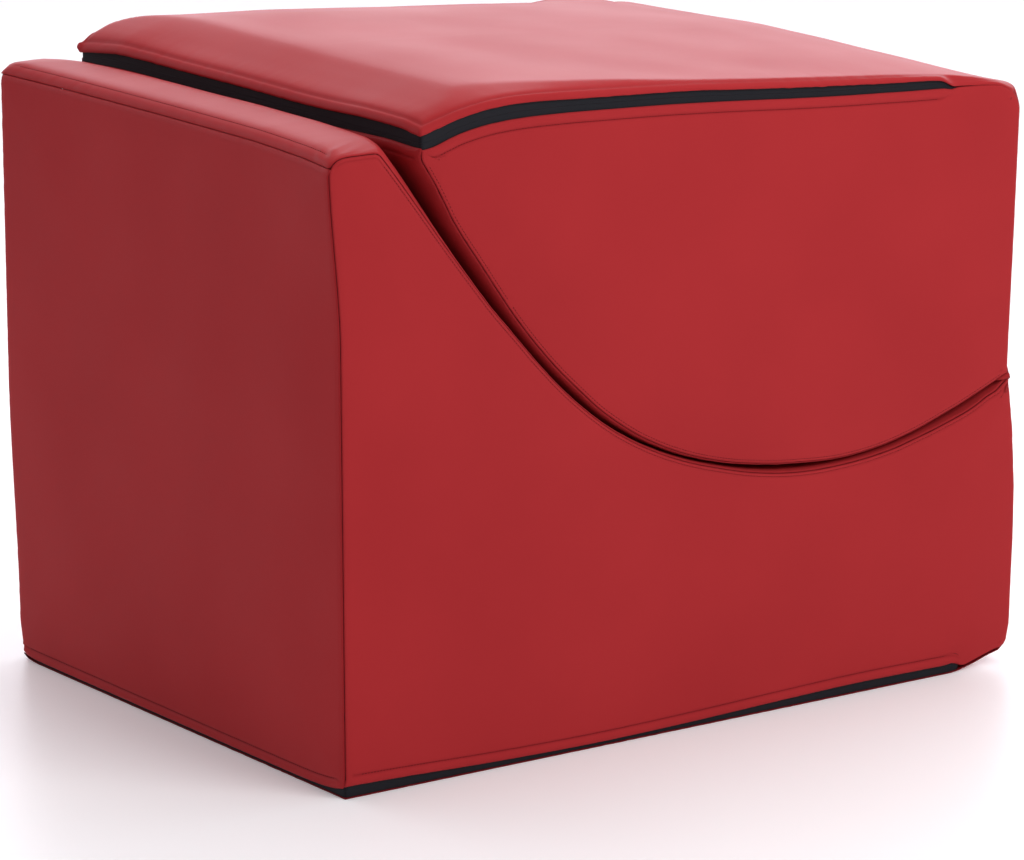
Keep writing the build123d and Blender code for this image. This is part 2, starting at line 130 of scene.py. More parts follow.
def softNoise(a, b, size, seed):
    # a sum of plane cosine waves of about one length in random directions, mostly from -1 to 1
    rng = np.random.default_rng(seed)
    total = np.zeros(np.shape(a))
    for _ in range(noise["waves"]):
        turn, phase = rng.uniform(0, 2 * math.pi), rng.uniform(0, 2 * math.pi)
        length = size * rng.uniform(*noise["stretches"])
        total += np.cos((a * math.cos(turn) + b * math.sin(turn)) * 2 * math.pi / length + phase)
    return total / noise["waves"] ** 0.5 / noise["level"]


def smoothStep(x, low, high):
    # 0 below low, 1 above high, and a smooth cubic between them
    t = np.clip((x - low) / (high - low), 0, 1)
    return t * t * (3 - 2 * t)


def softKnots(x, places, values, blur, samples=9):
    # the line through the knots, averaged over a window so that it bends softly
    x = np.asarray(x, float)
    return np.interp(x[..., None] + np.linspace(-blur, blur, samples), places, values).mean(-1)


# The sewn panel: a border of rows that follow the edge, and a grid inside it. Each kind of edge has the rows'
# inset from the edge, drop below the panel's face and darkness of painted shade, from the hidden allowance
# outwards.
# the third row of each kind is painted shade: it darkens the seam valleys, hem folds and stitched grooves
# where shade falls
edges = {
    "seam": (  # rolls halfway round a box edge and dives into the seam
        [6.5, 3.7, 2.7, 2.02, 1.75, 1.9, 2.5, 3.2, 3.9, 4.6, 5.3, 6.2, 7.2, 8.0, 8.8, 9.8],
        [6.3, 3.6, 2.6, 1.98, 1.6, 1.1, 0.6, 0.25, 0.2, 0.55, 0.5, 0.15, 0, 0, 0, 0],
        [1, 1, 1, 0.9, 0.7, 0.35, 0.1, 0, 0, 0.15, 0.2, 0.05, 0, 0, 0, 0],
    ),
    "soft": (  # the same roll without a line of stitches
        [6.5, 3.7, 2.7, 2.02, 1.75, 1.9, 2.4, 3.0, 3.7, 4.5, 5.3, 6.2, 7.2, 8.0, 8.8, 9.8],
        [6.3, 3.6, 2.6, 1.98, 1.6, 1.15, 0.7, 0.42, 0.25, 0.2, 0.16, 0.1, 0.05, 0, 0, 0],
        [1, 1, 1, 0.9, 0.7, 0.35, 0.1, 0, 0, 0, 0, 0, 0, 0, 0, 0],
    ),
    "over": (  # laps a little over the panel it is sewn to
        [6.5, 3.7, 2.5, 1.6, 0.9, 0.5, 0.5, 0.8, 1.5, 2.5, 3.6, 5.0, 6.4, 7.6, 8.8, 9.8],
        [6.3, 4.2, 3.6, 3.2, 2.8, 2.2, 1.5, 0.8, 0.3, 0.1, 0.3, 0.2, 0, 0, 0, 0],
        [1, 1, 1, 0.8, 0.5, 0.2, 0, 0, 0, 0, 0.1, 0.05, 0, 0, 0, 0],
    ),
    "flat": (  # a seam between two strips that run on in one line, with a raised allowance and its stitches
        [3.5, 1.4, 0.6, 0.3, 0.12, 0.2, 0.45, 0.9, 1.7, 2.9, 4.0, 4.7, 5.2, 6.0, 7.4, 9.8],
        [4.0, 3.6, 2.8, 2.0, 1.3, 0.7, 0.2, -0.15, -0.5, -0.6, -0.3, 0.3, 0.4, 0.1, 0, 0],
        [1, 1, 1, 0.8, 0.6, 0.35, 0.1, 0, 0, 0, 0.1, 0.2, 0.15, 0, 0, 0],
    ),
    "plain": (  # the other side of such a seam, without stitches
        [3.5, 1.4, 0.6, 0.3, 0.12, 0.2, 0.5, 1.0, 1.8, 2.8, 3.8, 4.8, 5.8, 6.8, 8.2, 9.8],
        [4.0, 3.6, 2.8, 2.0, 1.4, 0.8, 0.35, 0.1, 0, 0, 0, 0, 0, 0, 0, 0],
        [1, 1, 0.8, 0.5, 0.3, 0.15, 0.05, 0, 0, 0, 0, 0, 0, 0, 0, 0],
    ),
    "wide": (  # a broad stitched allowance
        [3.5, 1.4, 0.6, 0.3, 0.12, 0.2, 0.5, 1.2, 2.6, 4.6, 6.8, 8.8, 10.4, 11.6, 12.6, 14.5],
        [4.0, 3.6, 2.8, 2.0, 1.2, 0.6, 0.1, -0.2, -0.5, -0.6, -0.5, -0.2, 0.1, 0.3, 0.2, 0],
        [1, 1, 0.8, 0.5, 0.3, 0.15, 0.05, 0, 0, 0, 0, 0, 0.05, 0.15, 0.1, 0],
    ),
    "hem": (  # folded in behind the face, with a stitched groove above the fold
        [5.0, 3.5, 2.0, 1.0, 0.35, 0.0, 0.25, 0.9, 2.2, 4.2, 6.4, 8.0, 9.6, 10.6, 11.6, 13.0],
        [2.2, 2.1, 2.0, 1.85, 1.45, 0.9, 0.3, -0.2, -0.6, -0.8, -0.6, -0.1, 0.6, 0.7, 0.2, 0],
        [1, 1, 1, 0.7, 0.3, 0.1, 0, 0, 0, 0, 0, 0.05, 0.3, 0.35, 0.05, 0],
    ),
    "topHem": (  # folded hem of the crowned top: a ridge, a stitched line and the roll on to the top
        [4.0, 3.0, 1.6, 0.2, -1.2, -1.7, -1.6, -1.1, -0.2, 1.0, 2.3, 3.5, 4.8, 6.2, 7.8, 9.8],
        [4.0, 6.8, 7.7, 8.0, 7.8, 7.0, 5.6, 3.8, 2.2, 1.1, 0.9, 1.5, 1.7, 0.9, 0.3, 0],
        [1, 1, 1, 0.7, 0.3, 0.1, 0, 0, 0, 0, 0, 0.15, 0.25, 0.1, 0, 0],
    ),
    "lowHem": (  # the same hem where it lies nearly flush with the top
        [4.0, 3.0, 1.6, 0.2, -1.2, -1.7, -1.7, -1.4, -0.7, 0.3, 1.5, 2.8, 4.2, 5.8, 7.6, 9.8],
        [2.4, 3.4, 3.9, 4.2, 4.05, 3.5, 2.6, 1.7, 0.85, 0.27, 0, 0.1, 0.3, 0.25, 0.1, 0],
        [1, 1, 1, 0.7, 0.3, 0.1, 0, 0, 0, 0, 0, 0.05, 0.15, 0.05, 0, 0],
    ),
    "bottom": (  # bottom panel, whose edge turns up and is painted dark as shade
        [5.0, 3.0, 1.6, 0.7, 0.2, 0.0, 0.1, 0.5, 1.1, 2.0, 3.2, 4.6, 6.0, 7.2, 8.4, 9.8],
        [1.5, 1.5, 1.45, 1.3, 1.1, 0.8, 0.5, 0.25, 0.1, 0.03, 0, 0, 0, 0, 0, 0],
        [1, 1, 1, 1, 1, 1, 1, 0.9, 0.6, 0.3, 0, 0, 0, 0, 0, 0],
    ),
}
edges = {kind: np.array(rows) for kind, rows in edges.items()}

puckers = {
    "depth": 0.22,
    "reach": 14.0,
    "lengths": (13.0, 21.0, 34.0),
    "phases": 6.28,
    "drift": 1.7,  # how far the waves drift along the seam, and over which length
    "driftLength": 71,
    "steady": 0.6,  # share that is always there, and share that comes and goes over two lengths
    "changing": 0.5,
    "changeLengths": (53, 127),
}


def pucker(s, distance, seed):
    # ripples across a seam: three waves along it, fading away from the seam and uneven along it
    rng = np.random.default_rng(seed)
    total = np.zeros(np.shape(s))
    for length in puckers["lengths"]:
        phase, driftPhase = rng.uniform(0, puckers["phases"]), rng.uniform(0, puckers["phases"])
        drift = puckers["drift"] * np.sin(s / puckers["driftLength"] + driftPhase)
        total += np.cos(2 * math.pi * s / length + phase + drift)
    changes = puckers["changeLengths"]
    slow, slower = (np.sin(s / length + rng.uniform(0, puckers["phases"])) for length in changes)
    uneven = puckers["steady"] + puckers["changing"] * slow * slower
    return puckers["depth"] * total / 2 * uneven * np.exp(-distance / puckers["reach"])


def crownOf(distance, amount, reach):
    # rises from the seam and levels off
    return amount * (1 - np.exp(-np.maximum(distance, 0) / reach))


def gridQuads(rows, columns, closed=False):
    # faces between neighbouring rows of points; closed joins each row's end to its start
    a = np.arange(rows - 1)[:, None] * columns
    c = np.arange(columns if closed else columns - 1)[None]
    after = (c + 1) % columns
    return np.stack([a + c, a + after, a + columns + after, a + columns + c], -1).reshape(-1, 4)


panelMesh = {
    # soft unevenness of the face: height, size, distance from the seam at which it is full, and seed step
    "uneven": 0.5,
    "unevenSize": 150,
    "unevenFull": 60,
    "unevenSeed": 7,
    "relaxings": 160,  # rounds that even out the inner grid
    "outlineStep": 3.0,
    "leastDistance": 9.8,  # of the inner grid from the outline
    "atOnce": 3000,  # points whose distances are worked out together
    "faceRow": 5,  # first row of the border that shows
}


def sewnPanel(runs, counts, place, kinds, amount=0, reach=1, extra=None, seed=1):
    # runs are the four edge paths, anticlockwise; kinds(run, s) gives each edge's kinds and their weights;
    # place turns (across, up, height) into space; amount and reach are the crown's
    turns = []
    for k in range(4):
        _, before = onPath(runs[k - 1], np.array(runs[k - 1]["length"]))
        _, after = onPath(runs[k], np.array(0.0))
        turns.append(math.atan2(before[0] * after[1] - before[1] * after[0], before @ after))
    starts = np.r_[0, np.cumsum([run["length"] for run in runs])]

    def edge(k, s, d):
        # point in the plane at arc position s of run k, moved in by d, with the corners mitred
        length = runs[k]["length"]
        first = d * math.tan(turns[k] / 2)
        last = d * math.tan(turns[(k + 1) % 4] / 2)
        point, tangent = onPath(runs[k], first + (length - first - last) * s / length)
        return point + leftOf(tangent) * d[..., None]

    def heightAt(flat, s, d):
        # crown, puckers and soft unevenness, and what the piece itself adds
        a, b = flat[..., 0], flat[..., 1]
        uneven = softNoise(a, b, panelMesh["unevenSize"], seed + panelMesh["unevenSeed"])
        h = crownOf(d, amount, reach) + pucker(s, d, seed)
        h += panelMesh["uneven"] * uneven * smoothStep(d, 0, panelMesh["unevenFull"])
        return h + extra(a, b, d) if extra is not None else h

    def border(k, s):
        # inset, drop and painted shade of the border's rows at arc positions s, mixed by the kinds' weights
        return sum(edges[kind][:, :, None] * (weight + 0 * s) for kind, weight in kinds(k, s).items())

    flats, heights, seamShades = [], [], []
    for k in range(4):
        s = np.arange(counts[k]) / counts[k] * runs[k]["length"]
        # dark is each row's painted shade of the seam valley
        d, fall, dark = border(k, s)
        flat = edge(k, s + 0 * d, d)
        flats.append(flat)
        heights.append(heightAt(flat, starts[k] + s + 0 * d, d) - fall)
        seamShades.append(dark)
    rim, rimHeight, rimShade = np.hstack(flats), np.hstack(heights), np.hstack(seamShades)
    rows, around = rim.shape[:2]

    # the grid spans the border's last row as a patch, and is then evened out
    inner = rim[-1]
    n0, n1 = counts[:2]
    ids = np.arange(around)
    bottom, right = ids[: n0 + 1], ids[n0 : n0 + n1 + 1]
    top = ids[n0 + n1 : 2 * n0 + n1 + 1][::-1]
    left = np.r_[ids[2 * n0 + n1 :], 0][::-1]
    u, v = np.linspace(0, 1, n0 + 1)[:, None, None], np.linspace(0, 1, n1 + 1)[None, :, None]
    south, north = inner[bottom][:, None], inner[top][:, None]
    west, east = inner[left][None], inner[right][None]
    grid = (1 - v) * south + v * north + (1 - u) * west + u * east
    lower = (1 - u) * (1 - v) * south[:1] + u * (1 - v) * south[-1:]
    grid -= lower + (1 - u) * v * north[:1] + u * v * north[-1:]
    for _ in range(panelMesh["relaxings"]):
        grid[1:-1, 1:-1] = (grid[2:, 1:-1] + grid[:-2, 1:-1] + grid[1:-1, 2:] + grid[1:-1, :-2]) / 4
    middle = grid[1:-1, 1:-1].reshape(-1, 2)

    # how far each grid point is from the outline, and the arc position that it is nearest to
    steps = [np.arange(0, run["length"], panelMesh["outlineStep"]) for run in runs]
    outline = np.vstack([onPath(run, s)[0] for run, s in zip(runs, steps)])
    outlineS = np.hstack([start + s for start, s in zip(starts, steps)])
    distance, nearest = np.zeros(len(middle)), np.zeros(len(middle))
    for some in np.array_split(np.arange(len(middle)), max(1, len(middle) // panelMesh["atOnce"])):
        gaps = np.hypot(*np.moveaxis(middle[some, None] - outline[None], -1, 0))
        distance[some], nearest[some] = gaps.min(1), outlineS[gaps.argmin(1)]
    distance = np.maximum(distance, panelMesh["leastDistance"])

    flat = np.vstack([rim.reshape(-1, 2), middle])
    height = np.r_[rimHeight.ravel(), heightAt(middle, nearest, distance)]
    # painted shade of the seam valleys on the border's rows, and none on the inner grid
    seam = np.r_[rimShade.ravel(), np.zeros(len(middle))]
    last = (rows - 1) * around
    index = np.zeros((n0 + 1, n1 + 1), int)
    index[1:-1, 1:-1] = rows * around + np.arange(len(middle)).reshape(n0 - 1, n1 - 1)
    index[:, 0], index[:, -1] = last + bottom, last + top
    index[0, :], index[-1, :] = last + left, last + right
    inside = np.stack([index[:-1, :-1], index[1:, :-1], index[1:, 1:], index[:-1, 1:]], -1).reshape(-1, 4)
    quads = np.vstack([gridQuads(rows, around, True), inside])

    def at(k, s, d):
        # a point on the panel's border in space, for the stitches
        rowD, fall, _ = border(k, s)
        face = panelMesh["faceRow"]
        drops = np.array([np.interp(inset, rowD[face:, i], fall[face:, i]) for i, inset in enumerate(d)])
        flatPoint = edge(k, s, d)
        return place(flatPoint[..., 0], flatPoint[..., 1], heightAt(flatPoint, starts[k] + s, d) - drops)

    points = place(flat[:, 0], flat[:, 1], height)
    return {"points": points, "quads": quads, "seam": seam, "at": at, "runs": runs}


def makeObject(name, points, quads, flip=False, seam=None, thick=0.0):
    # a mesh from whole arrays, in metres, with smooth faces
    mesh = bpy.data.meshes.new(name)
    quads = quads[:, ::-1] if flip else quads
    mesh.vertices.add(len(points))
    mesh.vertices.foreach_set("co", (points * metres).astype(np.float32).ravel())
    mesh.loops.add(quads.size)
    mesh.loops.foreach_set("vertex_index", quads.astype(np.int32).ravel())
    mesh.polygons.add(len(quads))
    mesh.polygons.foreach_set("loop_start", np.arange(0, quads.size, 4, dtype=np.int32))
    mesh.polygons.foreach_set("use_smooth", np.ones(len(quads), bool))
    mesh.update(calc_edges=True)
    mesh.validate()
    # the painted seam shade goes on the points as the seam attribute
    if seam is not None:
        mesh.attributes.new("seam", "FLOAT", "POINT").data.foreach_set("value", seam.astype(np.float32))
    obj = bpy.data.objects.new(name, mesh)
    bpy.context.scene.collection.objects.link(obj)
    if thick:
        shell = obj.modifiers.new("thickness", "SOLIDIFY")
        shell.thickness, shell.offset = thick * metres, -1
    return obj


# Outlines in side view.
bends = {"wallOuter": 18.0, "wallInner": 12.0, "seat": 440.0, "lip": 12.0, "tip": 14.0, "belly": 446.0}
seat = {
    "slope": 51.3,  # angles of the slope and of the climb to the hinge, in degrees
    "climb": 14.8,
    "end": 284.0,
    "lip": 20.0,
    "hingeEdge": 294.2,
}


def baseLine():
    # wall bottom, up the wall, over its top, down the slope, through the seat and up to the hinge
    shoulder, seatEnd = (wall + pouf["wallTop"], pouf["wallHeight"]), (endX, seat["end"])
    down, rise = math.tan(math.radians(seat["slope"])), math.tan(math.radians(seat["climb"]))
    x = (seatEnd[1] - shoulder[1] - down * shoulder[0] - rise * seatEnd[0]) / (-down - rise)
    valley = (x, shoulder[1] - down * (x - shoulder[0]))
    lip = (endX - seat["lip"], seatEnd[1] - seat["lip"] * rise)
    foot, top = (wall, pouf["wallHem"]), (wall, pouf["wallHeight"])
    return [foot, top, shoulder, valley, lip, (endX, seat["hingeEdge"])]


zipLine = {
    "knots": (
        (-330, -309, -304, -293, -282, -265, -248, -231, -209, -186, -163, -140, -117, -94, -60, -24)
        + (11, 46, 82, 118, 155, 192, 228, 266, 297, 319.5, 338, 354, 371, 395.5, 420),
        (604, 606.6, 606.8, 608.8, 612.5, 617.6, 620.8, 623, 624.4, 624.8, 624.4, 623.8, 622.8, 621.7)
        + (620.2, 618.4, 616.2, 613.8, 611.1, 608.3, 605.7, 603.4, 601.5, 599.3, 597.9, 596.6, 595.4)
        + (594.6, 593.8, 592.6, 591.4),
    ),
    "blur": 5,
}


def hemLine(x, rise=0.0):
    # zip line of the folding section: it falls towards the tip and sinks slowly to the hinge end
    return softKnots(x, *zipLine["knots"], zipLine["blur"]) + rise


belt = {"hem": 609.0, "tip": 597.0, "belly": (-26.1, 161.3), "hingeEdge": 299.9}
seamTop = float(hemLine(endX, pouf["sewnRise"]))

baseCorners = baseLine()
beltCorners = [(tipX, belt["hem"]), (tipX, belt["tip"]), belt["belly"], (endX, belt["hingeEdge"])]
baseBends = [bends["wallOuter"], bends["wallInner"], bends["seat"], bends["lip"]]
beltBends = [bends["tip"], bends["belly"]]
baseWaveLine = roundedLine(baseCorners[1:], baseBends[1:])
foldWaveLine = roundedLine(beltCorners, beltBends)

# How the filled covers settle out of their outlines. Pairs are the stretch over which a thing comes or goes.
settled = {
    # how far the end faces stand out at each height
    "baseEnd": ((0, 10, 20, 32, 80, 130, 181, 240, 280, 297), (2, 5.5, 6.8, 8.5, 10, 12, 12.5, 9, 4, 1)),
    "foldEnd": ((297, 330, 374, 430, 480, 530, 568, 590, 610), (1, 2, 4, 6.5, 8.5, 10.5, 12, 11, 11)),
    "endFrom": 260.0,
    # the lifted lower corner at the hinge end
    "heelLift": 15.0,
    "heelAlong": (322, 400),
    "heelHigh": (4, 60),
    # how the wall's top runs along the width
    "wallTop": ((-300, -250, -160, 0, 175, 300), (6, 8, 9.5, 8.5, 7, 5.5)),
    "wallAlong": (-340, -250),
    "wallHigh": (430, 604),
    # how far the wall's ends lean out of it, and how far the far one spreads
    "nearLean": 11.0,
    "farLean": 4.0,
    "farSpread": 5.0,
    "leanReach": 90.0,
    "farHigh": (40, 300),
    "outerShare": 0.9,
    "outerPastWall": (4, 44),
    # how far the wall's top leans over the groove
    "slopeLean": 22.0,
    "slopeReach": 32,
    "slopePastWall": (8, 50),
    "slopeHigh": (400, 600),
    # far lower corner of the wall: amount, reach across and along, and height
    "farTuck": (9.0, 30, 12, (-5, 45)),
    "farRise": (6.0, 10, 9, (-5, 30)),
    # the wall panel's hem at the near corner
    "nearHemRise": 8.0,
    "nearHemReach": 22,
    "nearHemHigh": (6, 60),
    # the tip's far corner leans over the wall
    "tipLean": 5.0,
    "tipReach": 60,
    "tipAlong": 80,
    "tipHigh": (540, 605),
    # how far the belt's hem hangs below the sides' hem along the tip
    "beltSag": (
        (-300, -275, -250, -200, -149, -97, -45, 63, 118, 173, 230, 268, 288, 300),
        (0.5, 0.6, -0.8, 0.6, 2, 3.4, 3.4, 3, 3, 2.4, 2.8, 4.4, 4.7, 4.7),
    ),
    "beltBlur": 12,
    "beltHigh": (590, 604),
    "beltAlong": 10,
    # how far the top's end edge sinks along the width
    "endDrop": ((-300, -281, -268, -253, -225, -200, 300), (2.5, 2.5, 3.5, 4.5, 7, 9.1, 10.5)),
    "dropHigh": (560, 598),
    "dropFrom": 345.0,
    # the round of the end's upper corner, and how far in from the sides it fades
    "cornerRound": 30.0,
    "cornerDepth": 6.0,
    # how far the covers lift or sink the two waves along the length
    "baseWave": (
        (-300, -230, -205, -175, -140, -95, -60, -12, 36, 85, 134, 183)
        + (220, 258, 300, 335, 352, 368, 385, 396),
        (0, -1, 2.5, 5, 4.5, 3.2, 3.5, 4.5, 5.5, 4, 2.5, 1.5, 0, -2, -2.5, -1, 1, 6, 5, 3),
    ),
    "foldWave": (
        (-309, -300, -285, -266, -243, -221, -198, -175, -130, -106, -60, -12)
        + (36, 85, 134, 183, 233, 283, 334, 366, 385, 396),
        (0, -1, -5, -8, -5, -3, 0, 1, 0, -3, -5, -4.5, -3, -1.5, -1.5, -4, -5, -5, -4.5, -2.5, -1, 0),
    ),
    "waveBlur": 8,
    "waveInside": (-15, -150),
    "waveHigh": (540, 590),
    "wavePastWall": (46, 110),
}


def waveShift(x, z, line, name, side):
    # full at the wave and beyond it, gone deep inside the panel and near the zip
    height = np.interp(x, line[:, 0], line[:, 1])
    inside = smoothStep(side * (z - height), *settled["waveInside"])
    shift = softKnots(x, *settled[name], settled["waveBlur"])
    return shift * (1 - inside) * (1 - smoothStep(z, *settled["waveHigh"]))


def pastWall(x, name):
    # comes over a stretch measured from the wall's outer face
    low, high = settled[name]
    return smoothStep(x, wall + low, wall + high)


def atFarCorner(x, y, z, name):
    # an amount that fades away from the wall's far lower corner in all three directions
    amount, across, along, high = settled[name]
    return amount * np.exp(-(half - y) / across) * np.exp(-(x - wall) / along) * (1 - smoothStep(z, *high))


def baseShape(points):
    # swollen end face, lifted heel, uneven wall top, leaning wall corners and a tucked far lower corner
    x, y, z = np.moveaxis(points, -1, 0)
    out = np.interp(z, *settled["baseEnd"]) * smoothStep(x, settled["endFrom"], endX)
    heel = settled["heelLift"] * smoothStep(x, *settled["heelAlong"])
    heel = heel * (1 - smoothStep(z, *settled["heelHigh"]))
    heel = heel + waveShift(x, z, baseWaveLine, "baseWave", 1) * pastWall(x, "wavePastWall")
    onWall = 1 - smoothStep(x, *settled["wallAlong"])
    high, farHigh = smoothStep(z, *settled["wallHigh"]), smoothStep(z, *settled["farHigh"])
    top = np.interp(y, *settled["wallTop"]) * high * onWall
    near, far = np.exp(-(y + half) / settled["leanReach"]), np.exp(-(half - y) / settled["leanReach"])
    outer = 1 - settled["outerShare"] * pastWall(x, "outerPastWall")
    lean = (settled["nearLean"] * near * high * outer + settled["farLean"] * far * farHigh) * onWall
    across = 1 - np.exp(-np.maximum(half - np.abs(y), 0) / settled["slopeReach"])
    overGroove = settled["slopeLean"] * across * pastWall(x, "slopePastWall")
    overGroove = overGroove * smoothStep(z, *settled["slopeHigh"])
    spread = settled["farSpread"] * far**2 * farHigh * onWall
    tuck, rise = atFarCorner(x, y, z, "farTuck"), atFarCorner(x, y, z, "farRise")
    return np.stack([x + out - (lean - overGroove), y + spread - tuck, z + heel + top + rise], -1)


def wallShape(points):
    # the wall panel's hem rises to the near side's at the corner
    x, y, z = np.moveaxis(points, -1, 0)
    rise = settled["nearHemRise"] * np.exp(-(y + half) / settled["nearHemReach"])
    return baseShape(np.stack([x, y, z + rise * (1 - smoothStep(z, *settled["nearHemHigh"]))], -1))


def foldShape(points):
    # swollen end face, and a tip whose far corner leans over the wall
    x, y, z = np.moveaxis(points, -1, 0)
    out = np.interp(z, *settled["foldEnd"]) * smoothStep(x, settled["endFrom"], endX)
    lean = settled["tipLean"] * np.exp(-(half - y) / settled["tipReach"])
    lean = lean * (1 - smoothStep(x, tipX, tipX + settled["tipAlong"])) * smoothStep(z, *settled["tipHigh"])
    z = z + waveShift(x, z, foldWaveLine, "foldWave", -1)
    high = smoothStep(z, *settled["dropHigh"]) * smoothStep(x, settled["dropFrom"], endX)
    drop = high * np.interp(y, *settled["endDrop"])
    # the square corner in side view is drawn on to a circle where the side panels are sewn in
    size = settled["cornerRound"]
    a, b = np.maximum(x - endX + size, 0) / size, np.maximum(z - seamTop + size, 0) / size
    shrink = np.maximum(a, b) / np.maximum(np.hypot(a, b), tiny) - 1
    weight = size * np.exp(-np.maximum(half - np.abs(y), 0) / settled["cornerDepth"])
    return np.stack([x + out - lean + weight * a * shrink, y, z - drop + weight * b * shrink], -1)


def beltShape(points):
    # the belt's hem under the zip of the tip
    x, y, z = np.moveaxis(points, -1, 0)
    low = softKnots(y, *settled["beltSag"], settled["beltBlur"]) * smoothStep(z, *settled["beltHigh"])
    return foldShape(np.stack([x, y, z - low * (x < tipX + settled["beltAlong"])], -1))


def sidePlace(side, shape):
    # near side panels face -Y, far ones +Y
    return lambda a, b, h: shape(np.stack([a, side * (half + h), b], -1))


def stripPlace(path, shape):
    # a strip bent along a side view line: its height is measured along the line's outward normal
    def place(s, y, h):
        point, tangent = onPath(path, s)
        x, z = np.moveaxis(point + leftOf(tangent) * h[..., None], -1, 0)
        return shape(np.stack([x, y, z], -1))

    return place


def rectangle(aLow, aHigh, bLow, bHigh):
    # the four straight edges of a panel, anticlockwise
    corners = [(aLow, bLow), (aHigh, bLow), (aHigh, bHigh), (aLow, bHigh), (aLow, bLow)]
    return [makePath(np.array([p, q], float)) for p, q in zip(corners[:-1], corners[1:])]


baseSide = {
    "crown": 5.0,
    "reach": 55.0,
    "around": (170, 110),
    # height of the lower edge, which hangs over the zip in the middle
    "hem": (
        (-400, -330, -230, -113, 0, 110, 211, 300, 400),
        (12.5, 10.5, 6.5, 4.2, 5.5, 8.5, 10.6, 9.4, 8.8),
    ),
    "hemBlur": (45, 19),
    "hemSteps": 160,
    # the hem steps down to the underside: places past the zip's end, and the bends
    "step": (-14, -5, 9),
    "stepBends": (6, 14),
    "levelFrom": 30,  # before the end face
    "hemUpTo": (716, 734),
    "heelCutShare": 0.29,
    "wallCut": (1.9, 595.0),
}
stepStart, stepHigh, stepLow = (pouf["baseZipEnd"] + place for place in baseSide["step"])
under, levelX = pouf["underside"], endX - baseSide["levelFrom"]
hemX = np.linspace(wall, stepStart, baseSide["hemSteps"])
hemRun = np.c_[hemX, softKnots(hemX, *baseSide["hem"], *baseSide["hemBlur"])]
stepCorners = [hemRun[-1], (stepHigh, hemRun[-1, 1]), (stepLow, under), (levelX, under)]
stepDown = roundedLine(stepCorners, baseSide["stepBends"])
rightPart = roundedLine(
    [(levelX, under), (endX, under), *baseCorners[:0:-1], hemRun[0]],
    [pouf["heel"], 0, *baseBends[::-1]],
)
baseLoop = makePath(np.vstack([hemRun[:-1], stepDown[:-1], rightPart]))
heelCut = baseSide["heelCutShare"] * pouf["heel"]
wallCut = (wall + baseSide["wallCut"][0], baseSide["wallCut"][1])
baseRuns = cutPath(baseLoop, (endX - heelCut, under + heelCut), baseCorners[-1], wallCut)


def baseSideKinds(k, s):
    # hemmed over the zip, stitched along the wave
    hem = 1 - smoothStep(s, *baseSide["hemUpTo"]) if k == 0 else 0
    return {"hem": hem, "seam" if k == 2 else "soft": 1 - hem}


foldSide = {
    "crown": 4.0,
    "reach": 50.0,
    "around": (150, 80),
    "hemSteps": 200,
    # the sewn top edge steps down to the hem: places past the zip's end, the hem's lift there and the bends
    "step": (1.5, -4, -12),
    "stepLift": 0.3,
    "stepBends": (7, 7),
    "stepSamples": 6,
    "hemFrom": (76, 92),
    "tipCut": (-215.0, 452.0),
}
zipX = pouf["zipEnd"]
stepHigh, stepLow, stepEnd = (zipX + place for place in foldSide["step"])
topRun = roundedLine(
    [
        (endX, seamTop),
        (stepHigh, hemLine(zipX, pouf["sewnRise"])),
        (stepLow, hemLine(zipX) + foldSide["stepLift"]),
        (stepEnd, hemLine(stepEnd)),
    ],
    foldSide["stepBends"],
)
hemX = np.linspace(tipX, zipX, foldSide["hemSteps"])[::-1][foldSide["stepSamples"] :]
foldLoop = makePath(np.vstack([foldWaveLine, topRun, np.c_[hemX, hemLine(hemX)]]))
foldRuns = cutPath(foldLoop, foldSide["tipCut"], beltCorners[-1], (endX, seamTop))
foldRuns = [*foldRuns[1:], foldRuns[0]]


def foldSideKinds(k, s):
    # hemmed over the zip, without stitches elsewhere
    hem = smoothStep(s, *foldSide["hemFrom"]) if k == 2 else 0
    return {"hem": hem, "soft": 1 - hem}


def sidePanel(values, runs, place, kinds, seed):
    return sewnPanel(runs, values["around"] * 2, place, kinds, values["crown"], values["reach"], seed=seed)


made = {}
foldSeedStep = 3  # so that the folding section's sides get puckers of their own
for label, (side, seed) in sides.items():
    basePlace, foldPlace = sidePlace(side, baseShape), sidePlace(side, foldShape)
    made["base_" + label + "_side"] = sidePanel(baseSide, baseRuns, basePlace, baseSideKinds, seed)
    seed += foldSeedStep
    made["fold_" + label + "_side"] = sidePanel(foldSide, foldRuns, foldPlace, foldSideKinds, seed)
print("side panels worked out")

heelEnd = (endX - pouf["heel"] - pouf["heelFlat"], 0)
foldEndLow = 300.5  # lower edge of the folding section's end panel
wallPath, loungePath = cutPath(makePath(roundedLine(baseCorners, baseBends)), wallCut)
endPath = makePath(roundedLine([baseCorners[-1], (endX, 0), heelEnd], [pouf["heel"]]))
beltPath = makePath(roundedLine(beltCorners[::-1], beltBends[::-1]))
foldEndPath = makePath(np.array([(endX, seamTop), (endX, foldEndLow)]))

wallBulge = {
    "top": 0.5,
    "slope": 1.0,
    "endReach": 32.0,
    "farReachShare": 1.6,
    "topLength": 60,
    "topComes": (8, 30),
    "slopeComes": (28, 62),
    "slopeGoes": (60.0, 250.0),
    # creases that run out of the near corner: middle and spread across and along, slant and spacing
    "creases": 0.9,
    "creaseMiddle": (18, 26),
    "creaseSpread": (15, 18),
    "creaseComes": (2, 9),
    "creaseSlant": (0.66, 0.75),
    "creasePitch": 13,
}


